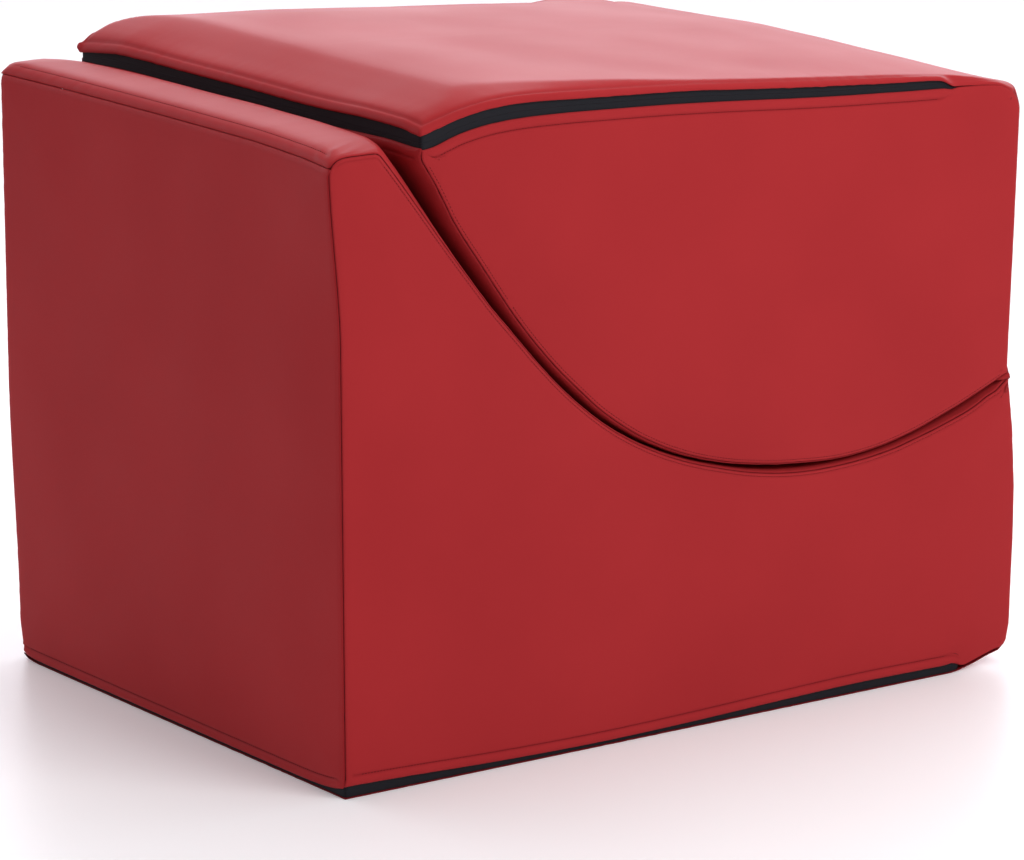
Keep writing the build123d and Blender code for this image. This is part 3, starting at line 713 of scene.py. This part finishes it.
def bulgeOf(s, y, d):
    # the wall's top swells between its ends, and its slope leans towards the folding section
    farther = np.where(y > 0, wallBulge["farReachShare"], 1.0)
    across = 1 - np.exp(-(half - np.abs(y)) / farther / wallBulge["endReach"])
    top = wallBulge["top"] * smoothStep(s, *wallBulge["topComes"])
    top = top + (wallBulge["slope"] - top) * smoothStep(s, *wallBulge["slopeComes"])
    slope = wallBulge["slope"] * (1 - smoothStep(s, *wallBulge["slopeGoes"]))
    # the creases are a plane wave under a bell
    (middleY, middleS), (spreadY, spreadS) = wallBulge["creaseMiddle"], wallBulge["creaseSpread"]
    bell = np.exp(-(((y + half - middleY) / spreadY) ** 2) - ((s - middleS) / spreadS) ** 2)
    bell = bell * smoothStep(d, *wallBulge["creaseComes"])
    slantY, slantS = wallBulge["creaseSlant"]
    ripple = np.cos((slantS * s - slantY * (y + half)) * 2 * math.pi / wallBulge["creasePitch"])
    creases = wallBulge["creases"] * bell * ripple
    return across * np.where(s < wallBulge["topLength"], top, slope) + creases


# the panels that go round in side view, each with the kinds of its two ends
strips = {
    "base_wall_panel": {
        "path": wallPath,
        "shape": wallShape,
        "grid": (130, 130),
        "crown": (3.5, 60.0),
        "ends": ("hem", "plain"),
        "seed": 31,
    },
    "base_lounge_panel": {
        "path": loungePath,
        "shape": baseShape,
        "grid": (210, 130),
        "crown": (3.0, 20.0),
        "extra": bulgeOf,
        "ends": ("wide", "flat"),
        "seed": 35,
    },
    "base_end_panel": {
        "path": endPath,
        "shape": baseShape,
        "grid": (70, 130),
        "crown": (1.2, 60.0),
        "ends": ("flat", "flat"),
        "seed": 39,
    },
    "fold_lounge_panel": {
        "path": beltPath,
        "shape": beltShape,
        "grid": (190, 130),
        "crown": (3.0, 20.0),
        "ends": ("flat", "hem"),
        "seed": 43,
    },
    "fold_end_panel": {
        "path": foldEndPath,
        "shape": foldShape,
        "grid": (70, 130),
        "crown": (1.2, 60.0),
        "ends": ("soft", "flat"),
        "seed": 47,
    },
}


def stripKinds(first, last):
    # the two ends as given, and soft along both sides
    return lambda k, s: {("soft", last, "soft", first)[k]: 1.0}


for name, values in strips.items():
    made[name] = sewnPanel(
        rectangle(0, values["path"]["length"], -half, half),
        values["grid"] * 2,
        stripPlace(values["path"], values["shape"]),
        stripKinds(*values["ends"]),
        *values["crown"],
        values.get("extra"),
        values["seed"],
    )
print("strips worked out")

topPanel = {
    "grid": (190, 150),
    "seed": 53,
    "sewnFrom": (302.0, 324.0),
    "ridge": (7.0, 3.2),  # height of the folded hem at the tip and towards the hinge end
    "ridgeFrom": (-260.0, 60.0),
    "foldLift": 1,  # of the edge over the hem's ridge, and over the sewn seam
    "seamLift": 0.5,
    "farTrimAcross": (40, 230),
    "swellPower": 2.2,
    "farWidth": (10, 50),  # width of the far side's roll at the tip, and how much it widens
    "farWidens": (-300, -190),
    "farTipAcross": (130, 270),
    "crossing": 1.5,
    "uneven": (0.25, (0, 80)),
    "unevenWaves": (170, 61),
    "blurs": {"middle": 14, "farTrim": 14, "swell": 30, "nearRoll": 0.05, "tipRoll": 3, "farTipRoll": 3}
    | {"tipEdge": 8, "nearGap": 3, "farGap": 8},
    # height of the cushion's middle along the length
    "middle": (
        (-340, -200, -174, -144, -109, -67, 11, 91, 172, 254, 304, 320, 345, 370, 396, 420),
        (654, 653.5, 653, 651.5, 649, 645.5, 637.5, 630, 623, 616.3, 611, 608.5, 603.5, 598.5, 594, 590),
    ),
    # height of the hem's top along the tip
    "tipEdge": (
        (-320, -304, -291, -275, -250, -200, -149, -97, 9, 118, 173, 230, 268, 288, 297, 320),
        (626, 627.6, 628, 630.5, 631.1, 631, 628.9, 628, 628.5, 628, 628.3, 627.7, 623.6, 621.3, 620, 618),
    ),
    # share of the fall that is left at each distance from the tip; nearRoll has it from the near side,
    # by shares of its width
    "tipRoll": (
        (-5, 0, 5, 15, 28, 41, 53, 62, 70, 80, 92),
        (1, 1, 0.84, 0.69, 0.54, 0.38, 0.24, 0.135, 0.06, 0.02, 0),
    ),
    "farTipRoll": (
        (-5, 0, 6, 15, 28, 41, 53, 66, 80, 95),
        (1, 1, 0.78, 0.6, 0.43, 0.3, 0.19, 0.1, 0.033, 0),
    ),
    "nearRoll": (
        (-0.2, 0, 0.08, 0.3, 0.6, 0.85, 1.05),
        (1, 1, 0.86, 0.62, 0.31, 0.08, 0),
    ),
    "nearWidth": ((-290, -250, -209, -140, -60, 11, 82), (76, 68, 48, 26, 16, 11, 9)),
    # how much the cushion swells between its sides along the length
    "swell": ((-309, -120, 0, 80, 260, 330, 396), (0, 0, 4, 6.5, 6.5, 5, 3)),
    # how much higher the far part lies along the length
    "farTrim": (
        (-309, -190, -115, -70, -20, 30, 80, 125, 170, 215, 260, 300, 345, 396),
        (0, 2, 3, 2, 0.8, 0, 1.5, 2.5, 1, -1, -3.5, -3.5, -4, -2.5),
    ),
    "nearGap": (
        (-309, -304, -293, -282, -265, -209, -163, -140, -60, 11, 46)
        + (118, 192, 228, 284, 297, 306, 313, 319.5),
        (13, 14.1, 15.4, 14.9, 14.3, 14.3, 13.3, 12.4, 12, 12, 11.1, 10.5, 10, 9.2, 9, 8.3, 7.2, 5.2, 2.5),
    ),
    "farGap": (
        (-309, -297, -283, -254, -240, -211, -167, -118, 235, 275, 305, 319.5),
        (10, 11, 10.5, 9.5, 8, 5.5, 2.2, 1.8, 1.8, 8.3, 8.3, 3),
    ),
}


def topKnots(x, name):
    return softKnots(x, *topPanel[name], topPanel["blurs"][name])


def zipGap(x, far):
    # visible height of the zip: wide near the tip, narrower where the hem hangs over it along the sides
    return topKnots(x, "nearGap") * (1 - far) + topKnots(x, "farGap") * far


def ridgeAt(x):
    low = smoothStep(x, *topPanel["ridgeFrom"])
    return topPanel["ridge"][0] * (1 - low) + topPanel["ridge"][1] * low


def topHeight(x, y, d=0):
    # the cushion's middle line and swell, less the deeper of the falls to the side's hem and to the tip's
    x = np.clip(x, tipX, endX)
    far = (y > 0) * 1.0
    sewn = smoothStep(x, *topPanel["sewnFrom"])
    middle = topKnots(x, "middle") + topKnots(x, "farTrim") * smoothStep(y, *topPanel["farTrimAcross"])
    hemmed = zipGap(x, far) + ridgeAt(x) + topPanel["foldLift"]
    edge = hemLine(x) + hemmed * (1 - sewn) + (pouf["sewnRise"] + topPanel["seamLift"]) * sewn
    inward = half - np.abs(y)
    swell = topKnots(x, "swell") * (1 - np.minimum(np.abs(y) / half, 1) ** topPanel["swellPower"])
    steep = topKnots(inward / np.interp(x, *topPanel["nearWidth"]), "nearRoll")
    narrow, more = topPanel["farWidth"]
    gentle = np.exp(-np.maximum(inward, 0) / (narrow + more * smoothStep(x, *topPanel["farWidens"])))
    side = (middle - edge) * np.where(y < 0, steep, gentle)
    farTip = smoothStep(y, *topPanel["farTipAcross"])
    roll = topKnots(x - tipX, "tipRoll") * (1 - farTip) + topKnots(x - tipX, "farTipRoll") * farTip
    tip = (middle - topKnots(y, "tipEdge")) * roll
    # the greater of the two, rounded where they cross
    fall = (side + tip + np.sqrt((side - tip) ** 2 + topPanel["crossing"])) / 2
    fall = np.where(inward < tiny, side, fall) if np.ndim(fall) else fall
    amount, comes = topPanel["uneven"]
    uneven = amount * softNoise(x, y, *topPanel["unevenWaves"])
    uneven = uneven * smoothStep(np.minimum(inward, x - tipX), *comes)
    return middle - fall + uneven + swell


def topKinds(k, s):
    # sewn to the end panel and to the last stretch of the sides, and hemmed everywhere else
    place = {0: tipX + s, 1: endX + 0 * s, 2: endX - s, 3: tipX + 0 * s}[k]
    sewn = smoothStep(place, *topPanel["sewnFrom"])
    low = smoothStep(place, *topPanel["ridgeFrom"])
    return {"over" if k != 1 else "soft": sewn, "lowHem": (1 - sewn) * low, "topHem": (1 - sewn) * (1 - low)}


bottomPanel = {"grid": (120, 100), "seed": 67}
made["fold_top_panel"] = sewnPanel(
    rectangle(tipX, endX, -half, half),
    topPanel["grid"] * 2,
    lambda a, b, h: foldShape(np.stack([a, b, h], -1)),
    topKinds,
    extra=topHeight,
    seed=topPanel["seed"],
)
made["base_bottom_panel"] = sewnPanel(
    rectangle(wall, heelEnd[0], -half, half),
    bottomPanel["grid"] * 2,
    lambda a, b, h: baseShape(np.stack([a, -b, -np.minimum(h, 0)], -1)),
    lambda k, s: {"bottom": 1.0},
    seed=bottomPanel["seed"],
)
print("top and bottom worked out")

flips = {"base_far_side", "fold_far_side"}
objects = {}
for name, panel in made.items():
    parts = panel["points"], panel["quads"], name in flips, panel["seam"]
    objects[name] = makeObject(name + "_sewn", *parts, pouf["cover"])

tape = {
    "depth": 3.2,
    "pushedOut": 1.7,
    "thick": 0.7,
    "corner": 4.0,
    "columns": 700,
    # rows across the band as shares of its height, and how much deeper each lies
    "rows": (0, 0.02, 0.05, 0.1, 0.16, 0.24, 0.4, 0.6, 0.8, 1.0),
    "deeper": (0.1, 0.04, 0, 0, 0, 0, 0, 0, 0, 0),
    # where the band goes deep: distances from the far side and from the tip
    "farSide": (40, 5),
    "pastTip": (15, 50),
    "slit": 0.02,  # half the gap between two tapes
    "teeth": 6.2,  # height of the fold's teeth above its zip line
    "foldLow": -6,
    # how far the fold's upper tape stays under the hem's ridge, and the share that goes near the zip's end
    "underRidge": 2.2,
    "endShare": 0.9,
    "endFrom": (285, 310),
    # heights of the base's zip, and how far its tapes run on past the zip's end
    "baseMiddle": 7.7,
    "baseHigh": 19.2,
    "baseLow": 0.7,
    "pastEnd": 4,
}


def tapeMesh(xLow, xHigh, lowOf, highOf):
    # a band round three sides: its plan goes along the near side, round the wall or tip, and back
    corners = [(xHigh, -half), (xLow, -half), (xLow, half), (xHigh, half)]
    plan = makePath(roundedLine(corners, [tape["corner"]] * 2))
    point, tangent = onPath(plan, np.linspace(0, plan["length"], tape["columns"]))
    # on the far side the band lies deeper, for the slider
    farSide = smoothStep(point[:, 1], *(half - inset for inset in tape["farSide"]))
    if xLow > wall:
        farSide = farSide * smoothStep(point[:, 0], *(xLow + past for past in tape["pastTip"]))
    depth = tape["depth"] + np.array(tape["deeper"])
    depth = depth[:, None] - tape["pushedOut"] * (1 - farSide)
    low, high = lowOf(*point.T), highOf(*point.T)
    z = low + (high - low) * np.array(tape["rows"])[:, None]
    xy = point[None] - leftOf(tangent)[None] * depth[..., None]
    points = np.concatenate([xy, z[..., None]], -1)
    return points.reshape(-1, 3), gridQuads(*points.shape[:2])


def foldUnder(x, y):
    # how far the top's hem hangs above the side's, as topHeight has it
    return topHeight(x, y) - (ridgeAt(x) + topPanel["foldLift"]) - hemLine(x)


def zipMiddle(x, y):
    # the closed zip runs in the middle of what shows, but not above its teeth
    return np.minimum(foldUnder(x, y) / 2, tape["teeth"])


def upperTapeTop(x, y):
    # behind the top's hem, under its ridge
    share = 1 - tape["endShare"] * smoothStep(x, *tape["endFrom"])
    return hemLine(x, foldUnder(x, y) + (ridgeAt(x) - tape["underRidge"]) * share)


# each tape's edge at the zip and its other edge
slit = tape["slit"]
tapes = {
    "base_zip_upper_tape": (
        lambda x, y: tape["baseMiddle"] + slit + 0 * x,
        lambda x, y: tape["baseHigh"] + 0 * x,
    ),
    "base_zip_lower_tape": (
        lambda x, y: tape["baseMiddle"] - slit + 0 * x,
        lambda x, y: tape["baseLow"] + 0 * x,
    ),
    "fold_zip_upper_tape": (lambda x, y: hemLine(x, zipMiddle(x, y) + slit), upperTapeTop),
    "fold_zip_lower_tape": (
        lambda x, y: hemLine(x, zipMiddle(x, y) - slit),
        lambda x, y: hemLine(x, tape["foldLow"]),
    ),
}
for name, edgesOf in tapes.items():
    onFold = name.startswith("fold")
    ends = (tipX, pouf["zipEnd"]) if onFold else (wall, pouf["baseZipEnd"] + tape["pastEnd"])
    points, quads = tapeMesh(*ends, *edgesOf)
    points = (foldShape if onFold else baseShape)(points)
    objects[name] = makeObject(name + "_woven", points, quads, "upper" in name, None, tape["thick"])
print("zip tapes made")

roll = {
    "radius": 3.4,
    "reach": 0.6,
    "across": 240,
    "around": 28,
    "endSteps": 8,
    "lastRing": 0.08,  # its turn from the end, in radians
    # the stitches' ripple and a slower one: share of the radius, and length
    "ripple": (0.03, 7.1),
    "slow": (0.02, 23),
    "web": 10.0,
    "webFall": 0.3,
    "back": 1.4,
    "flatten": (1.15, 0.6),
    # share of the painted seam shade laid evenly over the whole roll
    "seam": 0.3,
}


def rollMesh():
    # a tube along the hinge whose radius ripples with the stitches; each end is a half ball
    turn = np.linspace(roll["lastRing"], math.pi / 2, roll["endSteps"])
    long = half + roll["reach"] - roll["radius"]
    ball = long + roll["radius"] * np.cos(turn)
    straight = np.linspace(-long, long, roll["across"])
    y = np.r_[-ball[:-1], straight, ball[:-1][::-1]]
    size = np.r_[np.sin(turn)[:-1], np.ones(roll["across"]), np.sin(turn)[:-1][::-1]]
    (ripple, rippleLength), (slow, slowLength) = roll["ripple"], roll["slow"]
    waves = 1 + ripple * np.cos(2 * math.pi * y / rippleLength) + slow * np.sin(y / slowLength)
    radius = roll["radius"] * size * waves
    angle = np.linspace(0, 2 * math.pi, roll["around"], endpoint=False)
    # its inner side runs out into the folded hinge cloth in the mouth of the groove
    inner = np.clip(-np.cos(angle), 0, 1) ** 2
    tail = inner * roll["web"] * size[:, None] ** 0.5
    tall, less = roll["flatten"]
    x = pouf["hingeX"] - roll["back"] + radius[:, None] * np.cos(angle) - tail
    z = pouf["hingeZ"] + radius[:, None] * np.sin(angle) * (tall - less * inner) - roll["webFall"] * tail
    points = np.stack([x, y[:, None] + 0 * x, z], -1).reshape(-1, 3)
    n, m = len(y), roll["around"]
    quads = np.roll(gridQuads(n, m, True)[:, ::-1], 1, axis=1)
    ring = np.arange(m // 2 - 1)
    first = np.stack([ring, ring + 1, m - 2 - ring, m - 1 - ring], -1)
    return points, np.vstack([quads, first, (first + (n - 1) * m)[:, ::-1]])


points, quads = rollMesh()
# the whole roll gets an even painted shade
rollShade = np.full(len(points), roll["seam"])
objects["hinge_seam_roll"] = makeObject("hinge_seam_roll_sewn", points, quads, False, rollShade)


# Materials, all procedural.
def newMaterial(name):
    material = bpy.data.materials.new(name)
    material.use_nodes = True
    tree = material.node_tree
    shader = tree.nodes["Principled BSDF"]
    coords = tree.nodes.new("ShaderNodeTexCoord")
    return material, tree, shader, coords.outputs["Object"]


def setInputs(tree, node, inputs):
    # a link for each value that is a socket, and plain values for the rest
    for key, value in dict(inputs).items():
        if isinstance(value, bpy.types.NodeSocket):
            tree.links.new(value, node.inputs[key])
        else:
            node.inputs[key].default_value = value


def addNode(tree, kind, inputs=(), **settings):
    node = tree.nodes.new(kind)
    for key, value in settings.items():
        setattr(node, key, value)
    setInputs(tree, node, inputs)
    return node


def addMath(tree, operation, *values):
    return addNode(tree, "ShaderNodeMath", enumerate(values), operation=operation).outputs[0]


def addNoise(tree, coords, scale, detail):
    inputs = {"Vector": coords, "Scale": scale, "Detail": detail}
    return addNode(tree, "ShaderNodeTexNoise", inputs).outputs["Fac"]


def mapRange(tree, value, before=(0.0, 1.0), after=(0.0, 1.0)):
    # turns one stretch of values into another, in a straight line
    inputs = dict(zip(("From Min", "From Max", "To Min", "To Max"), (*before, *after)))
    return addNode(tree, "ShaderNodeMapRange", {"Value": value, **inputs}).outputs["Result"]


def mixColours(tree, amount, first, second):
    # first where the amount is 0, second where it is 1
    return addNode(tree, "ShaderNodeMix", {0: amount, 6: first, 7: second}, data_type="RGBA").outputs[2]


def addBump(tree, height, distance, strength):
    inputs = {"Height": height, "Distance": distance, "Strength": strength}
    return addNode(tree, "ShaderNodeBump", inputs).outputs["Normal"]


leather = {
    "colour": (0.38, 0.027, 0.030, 1),
    "dark": (0.30, 0.020, 0.023, 1),
    # colour of the painted shade in seam valleys, hem folds and along the bottom's edge
    "valley": (0.10, 0.003, 0.006, 1),
    "cloud": (6.0, 4.0),  # scale and detail
    "cloudRange": ((0.35, 0.75), (0.0, 0.35)),
    "seamShadeRange": (0.0, 0.8),
    "roughness": (0.36, 0.46),
    "grain": 900.0,
    "pebble": (350.0, 3.0),
    "bump": (0.00004, 0.6),  # depth in metres, and strength
    "specular": 0.04,
    "tint": (1.0, 0.1, 0.15, 1),  # of the shine seen from straight ahead
}


def leatherMaterial():
    # fine pebbled grain, slow cloudy colour and roughness, and painted shade along the seams
    material, tree, shader, coords = newMaterial("red_leatherette")
    cloud = addNoise(tree, coords, *leather["cloud"])
    seam = addNode(tree, "ShaderNodeAttribute", attribute_name="seam").outputs["Fac"]
    face = mixColours(tree, mapRange(tree, cloud, *leather["cloudRange"]), leather["colour"], leather["dark"])
    # how much painted shade each point gets, from the seam attribute
    valley = mapRange(tree, seam, after=leather["seamShadeRange"])
    cells = addNode(tree, "ShaderNodeTexVoronoi", {"Vector": coords, "Scale": leather["grain"]}, feature="F1")
    total = addMath(tree, "ADD", cells.outputs["Distance"], addNoise(tree, coords, *leather["pebble"]))
    looks = {
        # the painted shade darkens the face towards the valley colour
        "Base Color": mixColours(tree, valley, face, leather["valley"]),
        "Roughness": mapRange(tree, cloud, after=leather["roughness"]),
        "Normal": addBump(tree, total, *leather["bump"]),
        "Specular IOR Level": leather["specular"],
        "Specular Tint": leather["tint"],
    }
    setInputs(tree, shader, looks)
    return material


tapeLook = {
    "waves": {"Scale": 420.0, "Distortion": 0.6},
    "fibre": (1500.0, 2.0),  # scale and detail
    "brightness": ((0.0, 2.0), (0.007, 0.013)),
    "blue": 1.35,
    "bump": (0.00008, 0.6),
    "roughness": 0.7,
    "specular": 0.15,
}


def tapeMaterial():
    # dark ribbed weave: fine waves across the band, broken by fine noise
    material, tree, shader, coords = newMaterial("zip_tape_weave")
    inputs = {"Vector": coords, **tapeLook["waves"]}
    waves = addNode(tree, "ShaderNodeTexWave", inputs, bands_direction="DIAGONAL")
    total = addMath(tree, "ADD", waves.outputs["Fac"], addNoise(tree, coords, *tapeLook["fibre"]))
    grey = mapRange(tree, total, *tapeLook["brightness"])
    channels = {"Red": grey, "Green": grey, "Blue": addMath(tree, "MULTIPLY", grey, tapeLook["blue"])}
    looks = {
        "Base Color": addNode(tree, "ShaderNodeCombineColor", channels).outputs[0],
        "Roughness": tapeLook["roughness"],
        "Normal": addBump(tree, total, *tapeLook["bump"]),
        "Specular IOR Level": tapeLook["specular"],
    }
    setInputs(tree, shader, looks)
    return material


plainLooks = {
    "zip_coil_plastic": {
        "colours": ((0.012, 0.012, 0.014, 1), (0.02, 0.02, 0.022, 1)),
        "roughness": 0.35,
        "metallic": 0.0,
        "specular": 0.5,
        "scale": 900,
        "depth": 0.00005,
    },
    "zip_painted_metal": {
        "colours": ((0.02, 0.02, 0.022, 1), (0.04, 0.04, 0.042, 1)),
        "roughness": 0.28,
        "metallic": 0.6,
        "specular": 0.5,
        "scale": 700,
        "depth": 0.00002,
    },
    "red_thread": {
        "colours": ((0.13, 0.006, 0.009, 1), (0.08, 0.004, 0.006, 1)),
        "roughness": 0.7,
        "metallic": 0.0,
        "specular": 0.05,
        "scale": 2500,
        "depth": 0.00006,
    },
    "studio_floor_white": {
        "colours": ((0.93, 0.93, 0.935, 1), (0.92, 0.92, 0.925, 1)),
        "roughness": 0.4,
        "metallic": 0.0,
        "specular": 0.2,
        "scale": 3.0,
        "depth": 0.0,
    },
}
plainGrain = {"detail": 4.0, "strength": 0.5}


def plainMaterial(name):
    # one colour mottled towards a second one, with a fine bump of the same noise
    values = plainLooks[name]
    material, tree, shader, coords = newMaterial(name)
    noiseHere = addNoise(tree, coords, values["scale"], plainGrain["detail"])
    looks = {
        "Base Color": mixColours(tree, noiseHere, *values["colours"]),
        "Roughness": values["roughness"],
        "Metallic": values["metallic"],
        "Normal": addBump(tree, noiseHere, values["depth"], plainGrain["strength"]),
        "Specular IOR Level": values["specular"],
    }
    setInputs(tree, shader, looks)
    return material


red = leatherMaterial()
weave = tapeMaterial()
coilPlastic, zipMetal, thread = (
    plainMaterial(name) for name in ("zip_coil_plastic", "zip_painted_metal", "red_thread")
)


def paint(obj, material):
    obj.data.materials.clear()
    obj.data.materials.append(material)


for name, obj in objects.items():
    paint(obj, weave if "tape" in name else red)
for name in nodes:
    if "coil" in name:
        paint(nodes[name], coilPlastic)
    if "slider" in name or "pull" in name or "stops" in name:
        paint(nodes[name], zipMetal)
print("materials made")

stitch = {
    "length": 2.5,
    "pitch": 3.5,
    "radius": 0.42,
    "sink": 0.1,
    # steps along and across the seam that give a stitch its directions
    "ahead": 1.0,
    "across": 0.6,
    # the four rings of a stitch: place along it, size and dip, as shares
    "ringPlaces": (-1, -0.75, 0.75, 1),
    "ringSizes": (0.15, 1, 1, 0.15),
    "ringDips": (-0.35, 0.0, 0.0, -0.35),
    "sides": 4,
    "insets": {"seam": 4.6, "hem": 10.1, "wide": 11.8},
    # run of the panel, where the row starts and ends along it (below 0: from the run's end) and its inset
    "base": ((2, 14, -60, "seam"), (0, 10, 716, "hem")),
    "fold": ((0, 10, -8, "seam"), (3, 20, -2, "seam"), (2, 94, -10, "hem")),
    "wall": {"base_wall_panel": (3, 12, 590, "hem"), "base_lounge_panel": (3, 12, 590, "wide")},
    "wallOutward": (-1, 0, 0.3),
}


def stitchRow(panel, outward, k, first, last, inset):
    # centres, directions and outward normals of the stitches along run k of a panel
    last = last if last > 0 else panel["runs"][k]["length"] + last
    s = np.arange(first, last, stitch["pitch"])
    d = np.full(len(s), stitch["insets"][inset])
    here, ahead = panel["at"](k, s, d), panel["at"](k, s + stitch["ahead"], d)
    across = panel["at"](k, s, d + stitch["across"]) - panel["at"](k, s, d - stitch["across"])
    along = ahead - here
    along /= np.linalg.norm(along, axis=1)[:, None]
    normal = np.cross(along, across)
    normal /= np.linalg.norm(normal, axis=1)[:, None]
    return here, along, normal * np.sign(normal @ np.array(outward))[:, None]


def stitchMesh(rows):
    # each stitch is a four sided bar with pointed ends that dip into the cover, repeated along the rows
    here, along, normal = (np.vstack([row[k] for row in rows]) for k in range(3))
    across = np.cross(normal, along)
    x = np.array(stitch["ringPlaces"])[:, None] * stitch["length"] / 2
    size = np.array(stitch["ringSizes"])[:, None] * stitch["radius"]
    lift = np.array(stitch["ringDips"])[:, None] - stitch["sink"]
    angle = np.linspace(0, 2 * math.pi, stitch["sides"], endpoint=False)
    bar = np.broadcast_arrays(x, size * np.cos(angle), lift + size * np.sin(angle))
    template = np.stack(bar, -1).reshape(-1, 3)
    axes = (along, across, normal)
    points = here[:, None] + sum(template[None, :, i : i + 1] * axis[:, None] for i, axis in enumerate(axes))
    quads = np.vstack([gridQuads(4, 4, True), [[3, 2, 1, 0], [12, 13, 14, 15]]])
    quads = quads[None] + np.arange(len(here))[:, None, None] * len(template)
    return points.reshape(-1, 3), quads.reshape(-1, 4)


stitchRows = {"base": [], "fold": []}
for label, (side, _) in sides.items():
    for section, sectionRows in stitchRows.items():
        panel = made[section + "_" + label + "_side"]
        sectionRows += [stitchRow(panel, (0, side, 0), *values) for values in stitch[section]]
for name, values in stitch["wall"].items():
    stitchRows["base"].append(stitchRow(made[name], stitch["wallOutward"], *values))
for name, rows, body in (
    ("base_stitches", stitchRows["base"], "base"),
    ("fold_stitches", stitchRows["fold"], "folding_section"),
):
    points, quads = stitchMesh(rows)
    obj = makeObject(name, points, quads)
    paint(obj, thread)
    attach(obj, body)
print("stitches made")

# What each piece stands for besides its own node.
hidden = {
    "base_lounge_panel": ("base_foam_core", "base_seat_wadding"),
    "fold_lounge_panel": ("fold_foam_core", "fold_seat_wadding"),
    "fold_top_panel": ("fold_top_wadding",),
    # the coils are sewn behind their tapes, out of sight
    "fold_zip_upper_tape": ("fold_zip_upper_coil",),
    "fold_zip_lower_tape": ("fold_zip_lower_coil",),
}
# the two end panels get meshes of their own; the pressing flat of their faces when the bed lies open is not
# shaped here
for name, obj in objects.items():
    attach(obj, "folding_section" if name.startswith("fold") else "base")
    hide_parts(name, *hidden.get(name, ()))
    "tape" in name
    if name in ("base_end_panel", "fold_end_panel"):
        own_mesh(obj)
print("pieces ride on their bodies")

# Camera, floor and light, in metres.
view = {
    "place": (-3.2829, -4.7061, 1.6461),
    "yaw": 34.91,
    "pitch": 13.78,
    "roll": -0.25,
    "pixelLens": 5892.0,
    "width": 1024,
    "sensor": 36,
    "clip": (0.1, 200),
}


def frameMatrix(side, up, back, place):
    # the three axes and the place as columns
    matrix = np.eye(4)
    matrix[:3] = np.c_[side, up, back, place]
    return Matrix(matrix.tolist())


def makeCamera():
    # axes from the heading, the tilt and the roll
    yaw, pitch, turn = (math.radians(view[k]) for k in ("yaw", "pitch", "roll"))
    ahead = np.array([math.cos(pitch) * math.sin(yaw), math.cos(pitch) * math.cos(yaw), -math.sin(pitch)])
    right = np.array([math.cos(yaw), -math.sin(yaw), 0])
    up = np.cross(right, ahead)
    side = math.cos(turn) * right + math.sin(turn) * up
    data = bpy.data.cameras.new("photo_camera")
    data.sensor_width = view["sensor"]
    data.lens = view["pixelLens"] * view["sensor"] / view["width"]
    data.clip_start, data.clip_end = view["clip"]
    camera = bpy.data.objects.new("photo_camera", data)
    top = -math.sin(turn) * right + math.cos(turn) * up
    camera.matrix_world = frameMatrix(side, top, -ahead, view["place"])
    bpy.context.scene.collection.objects.link(camera)
    bpy.context.scene.camera = camera


lamps = {
    "overhead": {"place": (0.3, 0.6, 3.2), "target": (0, 0, 0.5), "size": 3.2, "power": 60.0},
    "front": {"place": (0.6, -2.3, 2.0), "target": (0, 0, 0.3), "size": 1.6, "power": 41.0},
}


def aimLamp(name, place, target, size, power):
    # a square lamp whose back points away from its target
    data = bpy.data.lights.new(name, "AREA")
    data.shape, data.size, data.size_y = "RECTANGLE", size, size
    data.energy = power
    lamp = bpy.data.objects.new(name, data)
    bpy.context.scene.collection.objects.link(lamp)
    away = np.array(place) - np.array(target)
    away = away / np.linalg.norm(away)
    side = np.cross([0, 0, 1.0], away)
    side = side / np.linalg.norm(side)
    lamp.matrix_world = frameMatrix(side, np.cross(away, side), away, place)


floorSize = {"half": 40000.0, "glow": 0.12}  # in millimetres; and the strength of its own light
makeCamera()
floorCorners = np.array([(-1, -1, 0), (1, -1, 0), (1, 1, 0), (-1, 1, 0)]) * floorSize["half"]
floor = makeObject("studio_floor", floorCorners, np.array([[0, 1, 2, 3]]))
pale = plainMaterial("studio_floor_white")
glow = {"Emission Color": (1, 1, 1, 1), "Emission Strength": floorSize["glow"]}
setInputs(pale.node_tree, pale.node_tree.nodes["Principled BSDF"], glow)
paint(floor, pale)

room = {
    "light": 0.28,
    "backdrop": 3.9,
    "colour": (1, 0.955, 1.03, 1),
    # the backdrop's brightness falls above it and fades in from the floor; by height of the direction
    "fall": ((0.29, 0.48), (1.0, 0.0)),
    "rise": ((0.08, 0.26), (0.62, 1.0)),
    "towards": (0.6, 0.8, 0),
    "width": (-0.1, 0.8),
}


def makeWorld():
    # a dim pale room whose far right is a bright low backdrop
    world = bpy.data.worlds.new("studio")
    bpy.context.scene.world = world
    world.use_nodes = True
    tree = world.node_tree
    coords = tree.nodes.new("ShaderNodeTexCoord").outputs["Generated"]
    height = addNode(tree, "ShaderNodeSeparateXYZ", {"Vector": coords}).outputs["Z"]
    fall, rise = (mapRange(tree, height, *room[name]) for name in ("fall", "rise"))
    low = addMath(tree, "MULTIPLY", fall, rise)
    facing = addNode(tree, "ShaderNodeVectorMath", {0: coords, 1: room["towards"]}, operation="DOT_PRODUCT")
    both = addMath(tree, "MULTIPLY", low, mapRange(tree, facing.outputs["Value"], room["width"]))
    strength = addMath(tree, "MULTIPLY_ADD", both, room["backdrop"], room["light"])
    setInputs(tree, tree.nodes["Background"], {"Strength": strength, "Color": room["colour"]})


makeWorld()
bpy.context.scene.view_settings.view_transform = "Standard"
for name, values in lamps.items():
    aimLamp(name, **values)
print("camera, floor and lights set")
